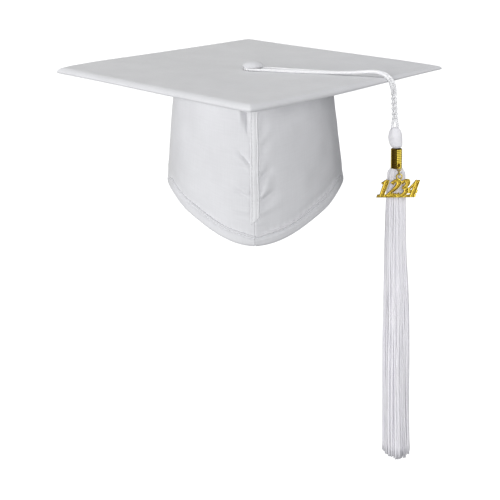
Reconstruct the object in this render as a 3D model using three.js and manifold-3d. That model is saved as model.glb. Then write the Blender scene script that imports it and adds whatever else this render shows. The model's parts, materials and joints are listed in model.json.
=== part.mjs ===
// A graduation cap: a fabric-covered square board on a soft crown, with a button and a swinging tassel.
// Millimetres, +Z up. The origin is the centre of the head opening, level with its side edges.
// The front of the cap is towards -Y, and the board's corners point along the X and Y axes.

import * as THREE from "three";
import { mergeVertices } from "three/addons/utils/BufferGeometryUtils.js";
import Module from "manifold-3d";

const wasm = await Module();
wasm.setup();

// ---- Driving dimensions ----

const GAP = 0.3; // left between pieces that touch

const BOARD_SIDE = 241;
const BOARD_THICK = 6;
const BOARD_SHIFT_X = -3.3; // the board is sewn on a little off the crown's middle
const BOARD_CORNER = 2; // corner radius in plan
const BOARD_EDGE_SOFT = 1.2; // rolled top edge
const COVER_THICK = 1.2;
const CORE_THICK = 3;
const CORE_INSET = 2;

const CROWN_HEIGHT = 91.5; // side edge of the opening to the board's underside
const OPENING_HALF_WIDTH = 78;
const CROWN_TOP_HALF_WIDTH = 68;
const OPENING_HALF_FRONT = 97;
const CROWN_TOP_HALF_FRONT = 84;
const OPENING_HALF_BACK = 94;
const CROWN_TOP_HALF_BACK = 84;
const FRONT_PEAK = 36.8; // how far the front point hangs below the side edges
const PEAK_SHARPNESS = 2.5;
const BACK_RISE = 3;
const PANEL_THICK = 1.4;
const INTERLINING_THICK = 0.8;
const HEM_HEIGHT = 10.5;
const HEM_THICK = 0.9;
const HEM_TAPER = 4; // the hem is this much narrower at the sides
const WELT_WIDTH = 8.2;
const WELT_THICK = 1.2;
const WELT_END_Z = -17;
const BACK_SEAM_WIDTH = 5;
const ELASTIC_WIDTH = 10;
const ELASTIC_THICK = 1;
const CASING_WIDTH = 15;
const CASING_THICK = 0.8;
const LINING_ABOVE_CASING = 2;
const BACK_STRIP_Y = 45; // the elastic runs round the back from here
const FLANGE_WIDTH = 12;

const BUTTON_RADIUS = 9.25;
const BUTTON_TOP = 7.8; // above the board
const BUTTON_SKIN = 0.8;
const DOME_STEPS = 6;
const POLE = Math.PI / 2;
const SHANK_RADIUS = 1.5;
const SHANK_HOLE = 2.2;
const SHANK_CHAMFER = 0.4;
const SOCKET_DEPTH = 2; // the shank's seat in the button
const SHANK_TAIL = 1.6; // below the washer
const WASHER_RADIUS = 8;
const WASHER_THICK = 1;
const FLAT_RING = 30; // the board's top is one plain face outside this radius

const CORD_RADIUS = 1.3;
const CORD_AZIMUTH = -23.5; // degrees; the way the cord runs from the button
const CORD_STEP = 6;
const DROP_RADIAL = 134.3; // the tassel hangs this far from the button's axis

const HEAD_TOP = 55.4;
const HEAD_BOTTOM = 37.1;
const HEAD_RADIUS = 5.5;
const HEAD_WALL = 1.6;
const HEAD_MOUTH = -1.05; // radians below its widest level, where the head is open for the threads
const FERRULE_TOP = 36.8;
const FERRULE_BOTTOM = 19.8;
const FERRULE_RADIUS = 4.7;
const FERRULE_WALL = 0.5;
const FERRULE_LIP = { in: 0.2, up: 0.4 }; // its outer corners are broken by this much
const NECK_RADIUS = 3.1; // the bound threads, inside the ferrule
const TIE_INSET = { low: 5, high: 3 }; // from the ferrule's ends to the thread binding's
const FRINGE_END = -243;
const FRINGE_BACKSET = 0.8; // the threads stand back from the charm in front of them

const CHARM_X = 1.9; // from the tassel's axis
const EYELET_Y = -6;
const EYELET_Z = 20.1;
const EYELET_RADIUS = 1.7;
const EYELET_WIRE = 0.4;
const LUG = { halfWidth: 0.8, back: 1.1, front: 0.1, overlap: 0.2, rise: 2.8 }; // about the eyelet's top
const RING_Y = -7.06;
const RING_Z = 17.34;
const RING_RADIUS = 2.6;
const RING_WIRE = 0.4;
const CHARM_Y = -8;
const CHARM_THICK = 1.4;
const CHARM_LOOP_Z = 14.1;
const CHARM_LOOP_RADIUS = 2.3;
const CHARM_LOOP_WIRE = 0.55;
const WIRE_SIDES = 8; // round a ring's wire
const RING_STEPS = 24; // round a ring
const NUMERAL_HEIGHT = 15.4;
const NUMERAL_PITCH = 8.3;
const NUMERAL_SLANT = 0.34; // sideways lean for each millimetre up
const CHARM_LEFT = -18.6; // left foot of the first numeral, from the tassel's axis
const CHARM_BASE_Z = -3.9;

// ---- Worked out from them ----

const BOARD_BOTTOM = CROWN_HEIGHT;
const BOARD_TOP = BOARD_BOTTOM + BOARD_THICK;
const CORD_Z = BOARD_TOP + GAP + CORD_RADIUS;
const STRAND_OFFSET = CORD_RADIUS + GAP / 2;
const CROWN_TOP_Z = BOARD_BOTTOM - GAP;

// ---- Materials ----

const material = (color, roughness, metalness = 0) => () =>
  new THREE.MeshStandardMaterial({ color, roughness, metalness });

const whiteCloth = material(0xe8e8ec, 0.8);
const liningCloth = material(0xdedee2, 0.9);
const whiteCord = material(0xf2f2f6, 0.75);
const whiteThread = material(0xececf2, 0.6);
const gilt = material(0xd9b437, 0.22, 1);
const greyBoard = material(0xb9b2a4, 0.9);
const whitePlastic = material(0xe4e2dc, 0.45);
const knitElastic = material(0xeeeeee, 0.85);
const steel = material(0xb8bcc0, 0.35, 1);

// ---- Geometry helpers ----

/** The geometry as one closed body: shared vertices merged, empty triangles dropped, faces outward. */
function closed(geometry) {
  geometry.deleteAttribute("normal");
  geometry.deleteAttribute("uv");
  const merged = mergeVertices(geometry, 1e-4);
  const index = Array.from(merged.index.array);
  const corner = (i) => new THREE.Vector3().fromBufferAttribute(merged.attributes.position, i);
  const kept = [];
  let volume = 0;
  for (let i = 0; i < index.length; i += 3) {
    const [a, b, c] = index.slice(i, i + 3);
    if (a === b || b === c || c === a) continue;
    kept.push([a, b, c]);
    volume += corner(a).dot(corner(b).cross(corner(c)));
  }
  const turned = volume < 0 ? kept.map(([a, b, c]) => [a, c, b]) : kept;
  merged.setIndex(turned.flat());
  return merged;
}

/** A closed geometry as a solid that can be cut and joined. */
function solid(geometry) {
  const body = closed(geometry);
  const triVerts = Uint32Array.from(body.index.array);
  const vertProperties = Float32Array.from(body.attributes.position.array);
  return new wasm.Manifold(new wasm.Mesh({ numProp: 3, vertProperties, triVerts }));
}

/** A solid as a geometry again. */
function geometryOf(manifold) {
  const mesh = manifold.getMesh();
  const geometry = new THREE.BufferGeometry();
  geometry.setAttribute("position", new THREE.Float32BufferAttribute(mesh.vertProperties, 3));
  geometry.setIndex(Array.from(mesh.triVerts));
  return geometry;
}

/** A lathe whose points are put in place by put(point, turn): turn counts the lathe's columns. */
function shapedLathe(section, columns, put) {
  const geometry = new THREE.LatheGeometry(section, columns);
  for (let turn = 0; turn <= columns; turn++) {
    section.forEach((point, j) => {
      const { x, y, z } = put(point, turn % columns);
      geometry.attributes.position.setXYZ(turn * section.length + j, x, y, z);
    });
  }
  return closed(geometry);
}

/** A turned piece standing on the Z axis, from its [radius, height] profile. */
function turned(profile, segments = 32) {
  const points = profile.map(([r, z]) => new THREE.Vector2(r, z));
  return closed(new THREE.LatheGeometry(points, segments).rotateX(Math.PI / 2));
}

/** A round tube along a smooth line through the points. */
function tube(points, radius) {
  const path = new THREE.CatmullRomCurve3(points, false, "centripetal");
  const steps = Math.ceil(path.getLength() / CORD_STEP);
  const round = new THREE.Shape().absarc(0, 0, radius, 0, 2 * Math.PI);
  const options = { steps, curveSegments: 4, bevelEnabled: false, extrudePath: path };
  return closed(new THREE.ExtrudeGeometry(round, options));
}

/** A box from its lowest to its highest corner. */
function boxBetween(low, high) {
  const [x, y, z] = high.map((h, i) => h - low[i]);
  const middle = high.map((h, i) => (h + low[i]) / 2);
  return new THREE.BoxGeometry(x, y, z).translate(...middle);
}

/** One named sub-part. */
function part(name, geometry, makeMaterial) {
  const mesh = new THREE.Mesh(geometry, makeMaterial());
  mesh.name = name;
  return mesh;
}

function groupOf(...children) {
  const group = new THREE.Group();
  group.add(...children);
  return group;
}

// ---- Board: a rounded square turned corner forward, with a hole for the button's shank ----

/** The point that far from the middle, in that direction. */
const polar = (radius, angle) => new THREE.Vector2(radius * Math.cos(angle), radius * Math.sin(angle));

/** Points round a square of that half side, three on each corner's arc and one amid each side. */
function squareOutline(half) {
  const points = [];
  for (let corner = 0; corner < 4; corner++) {
    const direction = (corner * Math.PI) / 2;
    const arcCentre = polar(Math.SQRT2 * (half - BOARD_CORNER), direction);
    for (const angle of [-Math.PI / 4, 0, Math.PI / 4]) {
      points.push(polar(BOARD_CORNER, direction + angle).add(arcCentre));
    }
    points.push(polar(half, direction + Math.PI / 4));
  }
  return points;
}

/** A square plate from its closed [size, height] section: sizes up to FLAT_RING are radii of round rings. */
function boardPlate(section) {
  const directions = squareOutline(BOARD_SIDE / 2).map((p) => p.angle());
  const put = (point, turn) => {
    if (point.x <= FLAT_RING) {
      const onRing = polar(point.x, directions[turn]);
      return new THREE.Vector3(onRing.x, onRing.y, point.y);
    }
    const edge = squareOutline(point.x)[turn];
    return new THREE.Vector3(edge.x + BOARD_SHIFT_X, edge.y, point.y);
  };
  const points = [...section, section[0]].map(([x, y]) => new THREE.Vector2(x, y));
  return shapedLathe(points, directions.length, put);
}

function boardParts() {
  const half = BOARD_SIDE / 2;
  const topCover = boardPlate([
    [SHANK_HOLE, BOARD_TOP],
    [FLAT_RING, BOARD_TOP],
    [half - BOARD_EDGE_SOFT, BOARD_TOP],
    [half, BOARD_TOP - BOARD_EDGE_SOFT],
    [half, BOARD_BOTTOM],
    [half - COVER_THICK, BOARD_BOTTOM],
    [half - COVER_THICK, BOARD_TOP - COVER_THICK],
    [SHANK_HOLE, BOARD_TOP - COVER_THICK],
  ]);
  const flat = (halfSide, low, high) =>
    boardPlate([[SHANK_HOLE, high], [halfSide, high], [halfSide, low], [SHANK_HOLE, low]]);
  const coverInside = half - COVER_THICK - GAP;
  const bottomCover = flat(coverInside, BOARD_BOTTOM, BOARD_BOTTOM + COVER_THICK);
  const coreLow = BOARD_BOTTOM + COVER_THICK + GAP;
  const core = flat(half - CORE_INSET, coreLow, coreLow + CORE_THICK);
  return groupOf(
    part("board_top_cover", topCover, whiteCloth),
    part("board_core", core, greyBoard),
    part("board_bottom_cover", bottomCover, whiteCloth),
  );
}

// ---- Crown: an oval wall that narrows upward, with a pointed front edge ----

const CROWN_COLUMNS = 48;
const WALL_ROWS = 5; // on a strip that covers the whole wall

/** How far down the crown a height is: 0 at the board, 1 at the opening's side edges, more in the peak. */
const downCrown = (z) => (CROWN_HEIGHT - z) / CROWN_HEIGHT;

/** The lower edge's height at an angle about +Z from +X. */
function edgeZ(angle) {
  const forward = Math.max(0, -Math.sin(angle));
  const backward = Math.max(0, Math.sin(angle));
  return BACK_RISE * backward ** 2 - FRONT_PEAK * forward ** PEAK_SHARPNESS;
}

/** A point of the crown's wall, offset outward from its face. */
function crownPoint(angle, z, offset) {
  const down = downCrown(z);
  const width = THREE.MathUtils.lerp(CROWN_TOP_HALF_WIDTH, OPENING_HALF_WIDTH, Math.min(down, 1));
  const peakDown = (CROWN_HEIGHT + FRONT_PEAK) / CROWN_HEIGHT;
  const bulge = 1 - (1 - down / peakDown) ** 2;
  const front = THREE.MathUtils.lerp(CROWN_TOP_HALF_FRONT, OPENING_HALF_FRONT, bulge);
  const back = THREE.MathUtils.lerp(CROWN_TOP_HALF_BACK, OPENING_HALF_BACK, down);
  const depth = Math.sin(angle) < 0 ? front : back;
  return new THREE.Vector3(Math.cos(angle) * (width + offset), Math.sin(angle) * (depth + offset), z);
}

/** A closed strip of the crown's wall between two offsets and two heights; each height is for an angle. */
function crownStrip(lowAt, highAt, innerOffset, outerOffset, rows = 1) {
  const section = [];
  for (let row = 0; row <= rows; row++) section.push(new THREE.Vector2(outerOffset, row / rows));
  for (let row = rows; row >= 0; row--) section.push(new THREE.Vector2(innerOffset, row / rows));
  section.push(section[0].clone());
  const put = (point, turn) => {
    const angle = (turn / CROWN_COLUMNS) * 2 * Math.PI;
    const z = THREE.MathUtils.lerp(lowAt(angle), highAt(angle), point.y);
    return crownPoint(angle, z, point.x);
  };
  return shapedLathe(section, CROWN_COLUMNS, put);
}

const FAR = 300; // beyond every piece
const leftSide = boxBetween([-FAR, -FAR, -FAR], [-GAP / 2, FAR, FAR]);
const rightSide = boxBetween([GAP / 2, -FAR, -FAR], [FAR, FAR, FAR]);
const cutTo = (geometry, region) => geometryOf(solid(geometry).intersect(solid(region)));

/** The left and right halves of a piece that goes all round the crown. */
function halves(name, strip, makeMaterial) {
  return [
    part(`${name}_left`, cutTo(strip, leftSide), makeMaterial),
    part(`${name}_right`, cutTo(strip, rightSide), makeMaterial),
  ];
}

/** How wide the hem is at an angle: full at the front and back, narrower at the sides. */
const hemHeight = (angle) => HEM_HEIGHT - HEM_TAPER * Math.cos(angle) ** 2;

function crownParts() {
  const topZ = () => CROWN_TOP_Z;
  const hemTop = (angle) => edgeZ(angle) + hemHeight(angle);
  const panels = crownStrip(edgeZ, topZ, -PANEL_THICK, 0, WALL_ROWS);

  const liningOuter = -PANEL_THICK - GAP;
  const liningInner = liningOuter - INTERLINING_THICK;
  const liningLow = (angle) => edgeZ(angle) + CASING_WIDTH + LINING_ABOVE_CASING;
  const interlinings = crownStrip(liningLow, topZ, liningInner, liningOuter, WALL_ROWS);

  const hems = crownStrip(edgeZ, hemTop, GAP, GAP + HEM_THICK);

  const outside = crownStrip(() => WELT_END_Z, topZ, GAP, GAP + WELT_THICK, WALL_ROWS);
  const frontStrip = boxBetween([-WELT_WIDTH / 2, -FAR, -FAR], [WELT_WIDTH / 2, 0, FAR]);
  const welt = cutTo(outside, frontStrip);

  const overHem = (angle) => hemTop(angle) + GAP;
  const aboveHem = crownStrip(overHem, topZ, GAP, GAP + HEM_THICK, WALL_ROWS);
  const backStrip = boxBetween([-BACK_SEAM_WIDTH / 2, 0, -FAR], [BACK_SEAM_WIDTH / 2, FAR, FAR]);
  const backSeam = cutTo(aboveHem, backStrip);

  const roundTheBack = boxBetween([-FAR, BACK_STRIP_Y, -FAR], [FAR, FAR, FAR]);
  const elasticLow = (angle) => edgeZ(angle) + (CASING_WIDTH - ELASTIC_WIDTH) / 2;
  const elasticHigh = (angle) => elasticLow(angle) + ELASTIC_WIDTH;
  const elasticInner = liningOuter - ELASTIC_THICK;
  const elastic = crownStrip(elasticLow, elasticHigh, elasticInner, liningOuter);
  const casingOuter = elasticInner - GAP;
  const casingTop = (angle) => edgeZ(angle) + CASING_WIDTH;
  const casing = crownStrip(edgeZ, casingTop, casingOuter - CASING_THICK, casingOuter);

  const flangeOuter = liningInner - GAP;
  const flangeLow = () => CROWN_TOP_Z - COVER_THICK;
  const flange = crownStrip(flangeLow, topZ, flangeOuter - FLANGE_WIDTH, flangeOuter);

  return groupOf(
    ...halves("crown_panel", panels, whiteCloth),
    ...halves("interlining", interlinings, liningCloth),
    ...halves("hem_band", hems, whiteCloth),
    part("front_seam_welt", welt, whiteCloth),
    part("back_seam_welt", backSeam, whiteCloth),
    part("elastic_band", cutTo(elastic, roundTheBack), knitElastic),
    part("elastic_casing", cutTo(casing, roundTheBack), liningCloth),
    part("crown_top_flange", flange, liningCloth),
  );
}

// ---- Button: a covered dome whose shank goes through the board to a washer ----

/** Part of an oval's outline as a [radius, height] profile, between two angles above its widest level. */
function ovalProfile(radius, halfHeight, level, from, to, steps) {
  const profile = [];
  for (let i = 0; i <= steps; i++) {
    const angle = THREE.MathUtils.lerp(from, to, i / steps);
    const atPole = Math.abs(angle - POLE) < 1e-9;
    profile.push([atPole ? 0 : radius * Math.cos(angle), level + halfHeight * Math.sin(angle)]);
  }
  return profile;
}

function buttonParts() {
  const underside = CORD_Z + CORD_RADIUS + GAP;
  const rise = BOARD_TOP + BUTTON_TOP - underside;
  const dome = (inset) =>
    ovalProfile(BUTTON_RADIUS - inset, rise - inset, underside, 0, POLE, DOME_STEPS);
  const cover = turned([...dome(BUTTON_SKIN).reverse(), ...dome(0)], 26);

  const socket = SHANK_RADIUS + GAP;
  const socketTop = underside + SOCKET_DEPTH;
  const coreDome = dome(BUTTON_SKIN + GAP);
  coreDome[0][1] += GAP;
  const core = turned([[0, socketTop], [socket, socketTop], [socket, underside + GAP], ...coreDome], 26);

  const washerTop = BOARD_BOTTOM - GAP;
  const washerBottom = washerTop - WASHER_THICK;
  const shankEnd = washerBottom - SHANK_TAIL;
  const shank = turned([
    [0, shankEnd],
    [SHANK_RADIUS - SHANK_CHAMFER, shankEnd],
    [SHANK_RADIUS, shankEnd + SHANK_CHAMFER],
    [SHANK_RADIUS, socketTop - GAP],
    [0, socketTop - GAP],
  ], 20);
  const washer = turned([
    [SHANK_RADIUS + GAP, washerTop],
    [SHANK_RADIUS + GAP, washerBottom],
    [WASHER_RADIUS, washerBottom],
    [WASHER_RADIUS, washerTop],
    [SHANK_RADIUS + GAP, washerTop],
  ], 28);
  return groupOf(
    part("button_cover", cover, whiteCloth),
    part("button_core", core, whitePlastic),
    part("button_shank", shank, whitePlastic),
    part("button_washer", washer, steel),
  );
}

// ---- Cord: one loop from the tassel's head over the board's edge, round the button's shank and back ----
// Points are [radial, sideways, height]: radial is along the cord's way out from the button.

const onCord = (points) => points.map(([x, y, z]) => new THREE.Vector3(x, y, z));
const otherSide = (points) => points.map(([x, y, z]) => [x, -y, z]);

const LOOP_HALF = [
  [-5.4, 0, CORD_Z],
  [-3.9, 3.8, CORD_Z],
  [0, 5.4, CORD_Z],
  [6, 4.7, CORD_Z],
  [13, 2.7, CORD_Z],
  [22, 1.7, CORD_Z],
  [34, STRAND_OFFSET, CORD_Z],
  [56, STRAND_OFFSET, CORD_Z],
  [76, STRAND_OFFSET, CORD_Z + 0.2],
  [92, STRAND_OFFSET, CORD_Z + 1.2],
  [106, STRAND_OFFSET, CORD_Z + 2.9],
  [115, STRAND_OFFSET, CORD_Z + 3.6],
  [121.5, STRAND_OFFSET, CORD_Z + 2.9],
  [126.3, STRAND_OFFSET, CORD_Z + 0.9],
  [129.6, STRAND_OFFSET, CORD_Z - 1.7],
];
const DROP_HALF = [
  [131.6, STRAND_OFFSET, 95],
  [133.2, STRAND_OFFSET, 91.8],
  [DROP_RADIAL - 0.1, STRAND_OFFSET, 87.5],
  [DROP_RADIAL, STRAND_OFFSET, 82],
  [DROP_RADIAL, STRAND_OFFSET, 72],
  [DROP_RADIAL, STRAND_OFFSET + 0.1, 65],
  [DROP_RADIAL, STRAND_OFFSET + 0.8, 60.5],
  [DROP_RADIAL, STRAND_OFFSET + 1.15, 56],
];

function cordParts() {
  const loop = [...otherSide(LOOP_HALF).slice(1).reverse(), ...LOOP_HALF];
  const group = groupOf(
    part("cord_loop", tube(onCord(loop), CORD_RADIUS), whiteCord),
    part("cord_drop_left", tube(onCord(otherSide(DROP_HALF)), CORD_RADIUS), whiteCord),
    part("cord_drop_right", tube(onCord(DROP_HALF), CORD_RADIUS), whiteCord),
  );
  group.rotation.z = THREE.MathUtils.degToRad(CORD_AZIMUTH);
  return group;
}

// ---- Tassel: a wound head, a gilt ferrule and the fringe, with the charm hanging in front ----

function tasselParts() {
  const middle = (HEAD_TOP + HEAD_BOTTOM) / 2;
  const half = (HEAD_TOP - HEAD_BOTTOM) / 2;
  const oval = (inset, steps) =>
    ovalProfile(HEAD_RADIUS - inset, half - inset, middle, HEAD_MOUTH, POLE, steps);
  const head = turned([...oval(HEAD_WALL, 7).reverse(), ...oval(0, 10)], 22);
  const bead = oval(HEAD_WALL + GAP, 7);
  const core = turned([[0, bead[0][1]], ...bead], 20);

  const bore = FERRULE_RADIUS - FERRULE_WALL;
  const ferrule = turned([
    [bore, FERRULE_BOTTOM],
    [FERRULE_RADIUS - FERRULE_LIP.in, FERRULE_BOTTOM],
    [FERRULE_RADIUS, FERRULE_BOTTOM + FERRULE_LIP.up],
    [FERRULE_RADIUS, FERRULE_TOP - FERRULE_LIP.up],
    [FERRULE_RADIUS - FERRULE_LIP.in, FERRULE_TOP],
    [bore, FERRULE_TOP],
    [bore, FERRULE_BOTTOM],
  ]);

  const tieInner = NECK_RADIUS + GAP;
  const tieOuter = bore - GAP;
  const tieLow = FERRULE_BOTTOM + TIE_INSET.low;
  const tieHigh = FERRULE_TOP - TIE_INSET.high;
  const tie = turned([
    [tieInner, tieLow],
    [tieOuter, tieLow],
    [tieOuter, tieHigh],
    [tieInner, tieHigh],
    [tieInner, tieLow],
  ], 24);

  return groupOf(
    part("tassel_head", head, whiteThread),
    part("tassel_head_core", core, whitePlastic),
    part("ferrule", ferrule, gilt),
    part("ferrule_eyelet", eyelet(), gilt),
    part("neck_tie", tie, whiteThread),
    part("fringe", fringe(), whiteThread),
  );
}

/** The ring that the charm's jump ring goes through, on a lug that stands on the ferrule's front. */
function eyelet() {
  const ring = new THREE.TorusGeometry(EYELET_RADIUS, EYELET_WIRE, WIRE_SIDES, RING_STEPS);
  ring.rotateX(Math.PI / 2).translate(CHARM_X, EYELET_Y, EYELET_Z);
  const ringTop = EYELET_Z + EYELET_RADIUS;
  const lug = boxBetween(
    [CHARM_X - LUG.halfWidth, EYELET_Y - LUG.front, ringTop - LUG.overlap],
    [CHARM_X + LUG.halfWidth, EYELET_Y + LUG.back, ringTop + LUG.rise],
  );
  return geometryOf(solid(ring).add(solid(lug)));
}

/** The bundle of threads: round in the ferrule, then a flattened skirt that widens to its end. */
function fringe() {
  const pinched = NECK_RADIUS - 0.6;
  const sections = [
    { z: HEAD_BOTTOM - GAP, width: pinched, depth: pinched, back: 0 },
    { z: FERRULE_BOTTOM + 1, width: NECK_RADIUS, depth: NECK_RADIUS, back: 0 },
    { z: FERRULE_BOTTOM - 0.4, width: 4.2, depth: 3.1, back: 0.3 },
    { z: 17, width: 6.4, depth: 4, back: FRINGE_BACKSET },
    { z: 13, width: 7.5, depth: 4.9, back: FRINGE_BACKSET },
    { z: -9, width: 8.7, depth: 6.2, back: FRINGE_BACKSET },
    { z: -60, width: 9.7, depth: 7.6, back: 0.4 },
    { z: -118, width: 10.7, depth: 8.6, back: 0 },
    { z: -190, width: 11.6, depth: 9.4, back: 0 },
    { z: FRINGE_END + 3, width: 12.1, depth: 9.8, back: 0 },
    { z: FRINGE_END, width: 11, depth: 8.8, back: 0 },
  ];
  const columns = 24;
  const ends = [{ ...sections[0], width: 0, depth: 0 }, ...sections];
  ends.push({ ...sections[sections.length - 1], width: 0, depth: 0 });
  const profile = ends.map((_, i) => new THREE.Vector2(1, i));
  const put = (point, turn) => {
    const { z, width, depth, back } = ends[point.y];
    const angle = (turn / columns) * 2 * Math.PI;
    return new THREE.Vector3(width * Math.cos(angle), back + depth * Math.sin(angle), z);
  };
  return shapedLathe(profile, columns, put);
}

function jumpRing() {
  const ring = new THREE.TorusGeometry(RING_RADIUS, RING_WIRE, WIRE_SIDES, RING_STEPS);
  return closed(ring.rotateY(Math.PI / 2).translate(CHARM_X, RING_Y, RING_Z));
}

// ---- Charm: plain italic numerals joined at their feet, under a loop ----
// Each numeral is a list of strokes; each stroke is a list of [x, y, half width] on an upright grid.

const GRID_HEIGHT = 15;
const FOOT_BAR = [[1, 0.1], [33, 0.1], [33, 1.1], [1, 1.1]];

const NUMERALS = [
  [
    [[5, 0.4, 1.4], [5, 14.6, 1.5]],
    [[1.2, 0.8, 0.8], [9, 0.8, 0.8]],
    [[1.6, 11.9, 0.5], [3.6, 13, 0.9], [5.4, 14.4, 0.9]],
  ],
  [
    [
      [2, 11.2, 1.3], [3.4, 13.6, 0.9], [5.6, 14.2, 0.9], [7.8, 12.2, 1.5],
      [7.2, 8.8, 1.4], [4.2, 4.6, 0.8], [1.4, 1.2, 0.7],
    ],
    [[1, 1, 1], [4.6, 1.4, 1.3], [9.4, 1, 0.9]],
  ],
  [
    [[2.2, 12, 1.2], [4, 14, 0.8], [6.6, 13.4, 1.3], [7.2, 10.8, 1.4], [5.6, 8.6, 0.9], [3.6, 8, 0.6]],
    [[4, 8.2, 0.6], [6.8, 7.4, 1.1], [8.2, 4.6, 1.5], [6.4, 1.4, 1.1], [3.4, 0.8, 0.8], [1.2, 2.6, 1.3]],
  ],
  [
    [[6.2, 14.2, 0.6], [3.4, 9, 0.6], [0.8, 4.6, 0.7]],
    [[0.8, 4.4, 0.8], [9.6, 4.4, 0.8]],
    [[6.6, 0.4, 1.5], [6.6, 14.6, 1.4]],
    [[3.6, 0.7, 0.7], [9.4, 0.7, 0.7]],
  ],
];

/** A flat stroke's outline: the line through its points, widened each side. */
function strokeShape(stroke) {
  const line = new THREE.CatmullRomCurve3(stroke.map(([x, y]) => new THREE.Vector3(x, y, 0)));
  const steps = 4 * (stroke.length - 1) - 3 * (stroke.length === 2);
  const left = [];
  const right = [];
  for (let i = 0; i <= steps; i++) {
    const t = i / steps;
    const place = (stroke.length - 1) * t;
    const before = Math.min(Math.floor(place), stroke.length - 2);
    const width = THREE.MathUtils.lerp(stroke[before][2], stroke[before + 1][2], place - before);
    const point = line.getPoint(t);
    const along = line.getTangent(t);
    left.push(new THREE.Vector2(point.x - along.y * width, point.y + along.x * width));
    right.push(new THREE.Vector2(point.x + along.y * width, point.y - along.x * width));
  }
  return new THREE.Shape([...left, ...right.reverse()]);
}

/** A flat upright shape as a slanted plate in the charm's plane, moved sideways. */
function charmPlate(shape, shift) {
  const plate = new THREE.ExtrudeGeometry(shape, { depth: CHARM_THICK, bevelEnabled: false });
  plate.translate(0, 0, -CHARM_THICK / 2).scale(1, NUMERAL_HEIGHT / GRID_HEIGHT, 1);
  plate.applyMatrix4(new THREE.Matrix4().makeShear(0, 0, NUMERAL_SLANT, 0, 0, 0));
  plate.rotateX(Math.PI / 2);
  return solid(plate.translate(CHARM_LEFT + shift, CHARM_Y, CHARM_BASE_Z));
}

function charm() {
  const loop = new THREE.TorusGeometry(CHARM_LOOP_RADIUS, CHARM_LOOP_WIRE, WIRE_SIDES, RING_STEPS);
  let whole = solid(loop.rotateX(Math.PI / 2).translate(CHARM_X, CHARM_Y, CHARM_LOOP_Z));
  NUMERALS.forEach((strokes, i) => {
    for (const stroke of strokes) whole = whole.add(charmPlate(strokeShape(stroke), i * NUMERAL_PITCH));
  });
  const footBar = new THREE.Shape(FOOT_BAR.map(([x, y]) => new THREE.Vector2(x, y)));
  return geometryOf(whole.add(charmPlate(footBar, 0)));
}

function charmParts() {
  return groupOf(part("jump_ring", jumpRing(), gilt), part("charm", charm(), gilt));
}

// ---- The cap ----

const tassel = groupOf(tasselParts(), charmParts());
const cordWay = THREE.MathUtils.degToRad(CORD_AZIMUTH);
tassel.position.set(DROP_RADIAL * Math.cos(cordWay), DROP_RADIAL * Math.sin(cordWay), 0);

const cap = groupOf(boardParts(), crownParts(), buttonParts(), cordParts(), tassel);

export default cap;
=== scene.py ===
"""A graduation cap in white cloth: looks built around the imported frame. Metres, +Z up, front towards -Y."""

import json
import math

import bpy
import numpy as np
from mathutils import Matrix, Vector

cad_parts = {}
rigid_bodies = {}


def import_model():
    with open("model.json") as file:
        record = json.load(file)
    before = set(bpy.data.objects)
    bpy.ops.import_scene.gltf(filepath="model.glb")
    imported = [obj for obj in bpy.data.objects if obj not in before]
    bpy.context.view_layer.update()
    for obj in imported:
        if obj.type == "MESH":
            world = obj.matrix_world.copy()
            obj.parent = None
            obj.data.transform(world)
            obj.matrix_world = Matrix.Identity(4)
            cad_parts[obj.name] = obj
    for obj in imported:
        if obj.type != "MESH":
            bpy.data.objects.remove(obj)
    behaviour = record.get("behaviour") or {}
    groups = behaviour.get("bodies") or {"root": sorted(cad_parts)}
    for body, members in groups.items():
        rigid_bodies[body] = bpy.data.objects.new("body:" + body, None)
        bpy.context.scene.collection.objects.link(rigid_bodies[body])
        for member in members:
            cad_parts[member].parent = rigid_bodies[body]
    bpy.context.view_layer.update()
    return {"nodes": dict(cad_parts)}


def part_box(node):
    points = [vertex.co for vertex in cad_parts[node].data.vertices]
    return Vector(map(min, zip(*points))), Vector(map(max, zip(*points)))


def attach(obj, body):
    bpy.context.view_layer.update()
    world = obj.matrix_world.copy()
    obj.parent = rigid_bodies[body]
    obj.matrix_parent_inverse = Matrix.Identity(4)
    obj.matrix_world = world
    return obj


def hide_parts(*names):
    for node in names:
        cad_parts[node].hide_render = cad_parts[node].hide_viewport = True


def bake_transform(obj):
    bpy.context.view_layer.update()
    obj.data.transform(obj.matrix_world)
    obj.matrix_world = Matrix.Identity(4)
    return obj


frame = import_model()

MM = 0.001


# ---- Camera ----


def make_camera():
    """A long lens in front of the cap and a little above it, tilted by half a degree."""
    data = bpy.data.cameras.new("camera")
    data.sensor_width = 36
    data.lens = 146.4
    camera = bpy.data.objects.new("camera", data)
    place = Matrix.Translation((-0.0099, -1.7734, 0.4057))
    turn = Matrix.Rotation(math.radians(-0.19), 4, "Z")
    pitch = Matrix.Rotation(math.radians(90 - 14.92), 4, "X")
    roll = Matrix.Rotation(math.radians(-0.48), 4, "Z")
    camera.matrix_world = place @ turn @ pitch @ roll
    bpy.context.scene.collection.objects.link(camera)
    bpy.context.scene.camera = camera


make_camera()


# ---- Places taken from the frame ----

board_low, board_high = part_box("board_top_cover")
BOARD_TOP = board_high.z
BOARD_BOTTOM = board_low.z
BOARD_X = (board_low.x + board_high.x) / 2
CORNER_LOSS = 0.6 * MM  # what the CAD board's rounded corners take off its half side, as its box shows it
BOARD_HALF = (board_high.x - board_low.x) / 2 / math.sqrt(2) + CORNER_LOSS

head_low, head_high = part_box("tassel_head")
ferrule_low, ferrule_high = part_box("ferrule")
TASSEL_X = (head_low.x + head_high.x) / 2
TASSEL_Y = (head_low.y + head_high.y) / 2
CORD_AZIMUTH = math.atan2(TASSEL_Y, TASSEL_X)


# ---- Mesh helpers ----


def link(obj):
    bpy.context.scene.collection.objects.link(obj)
    return obj


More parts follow.
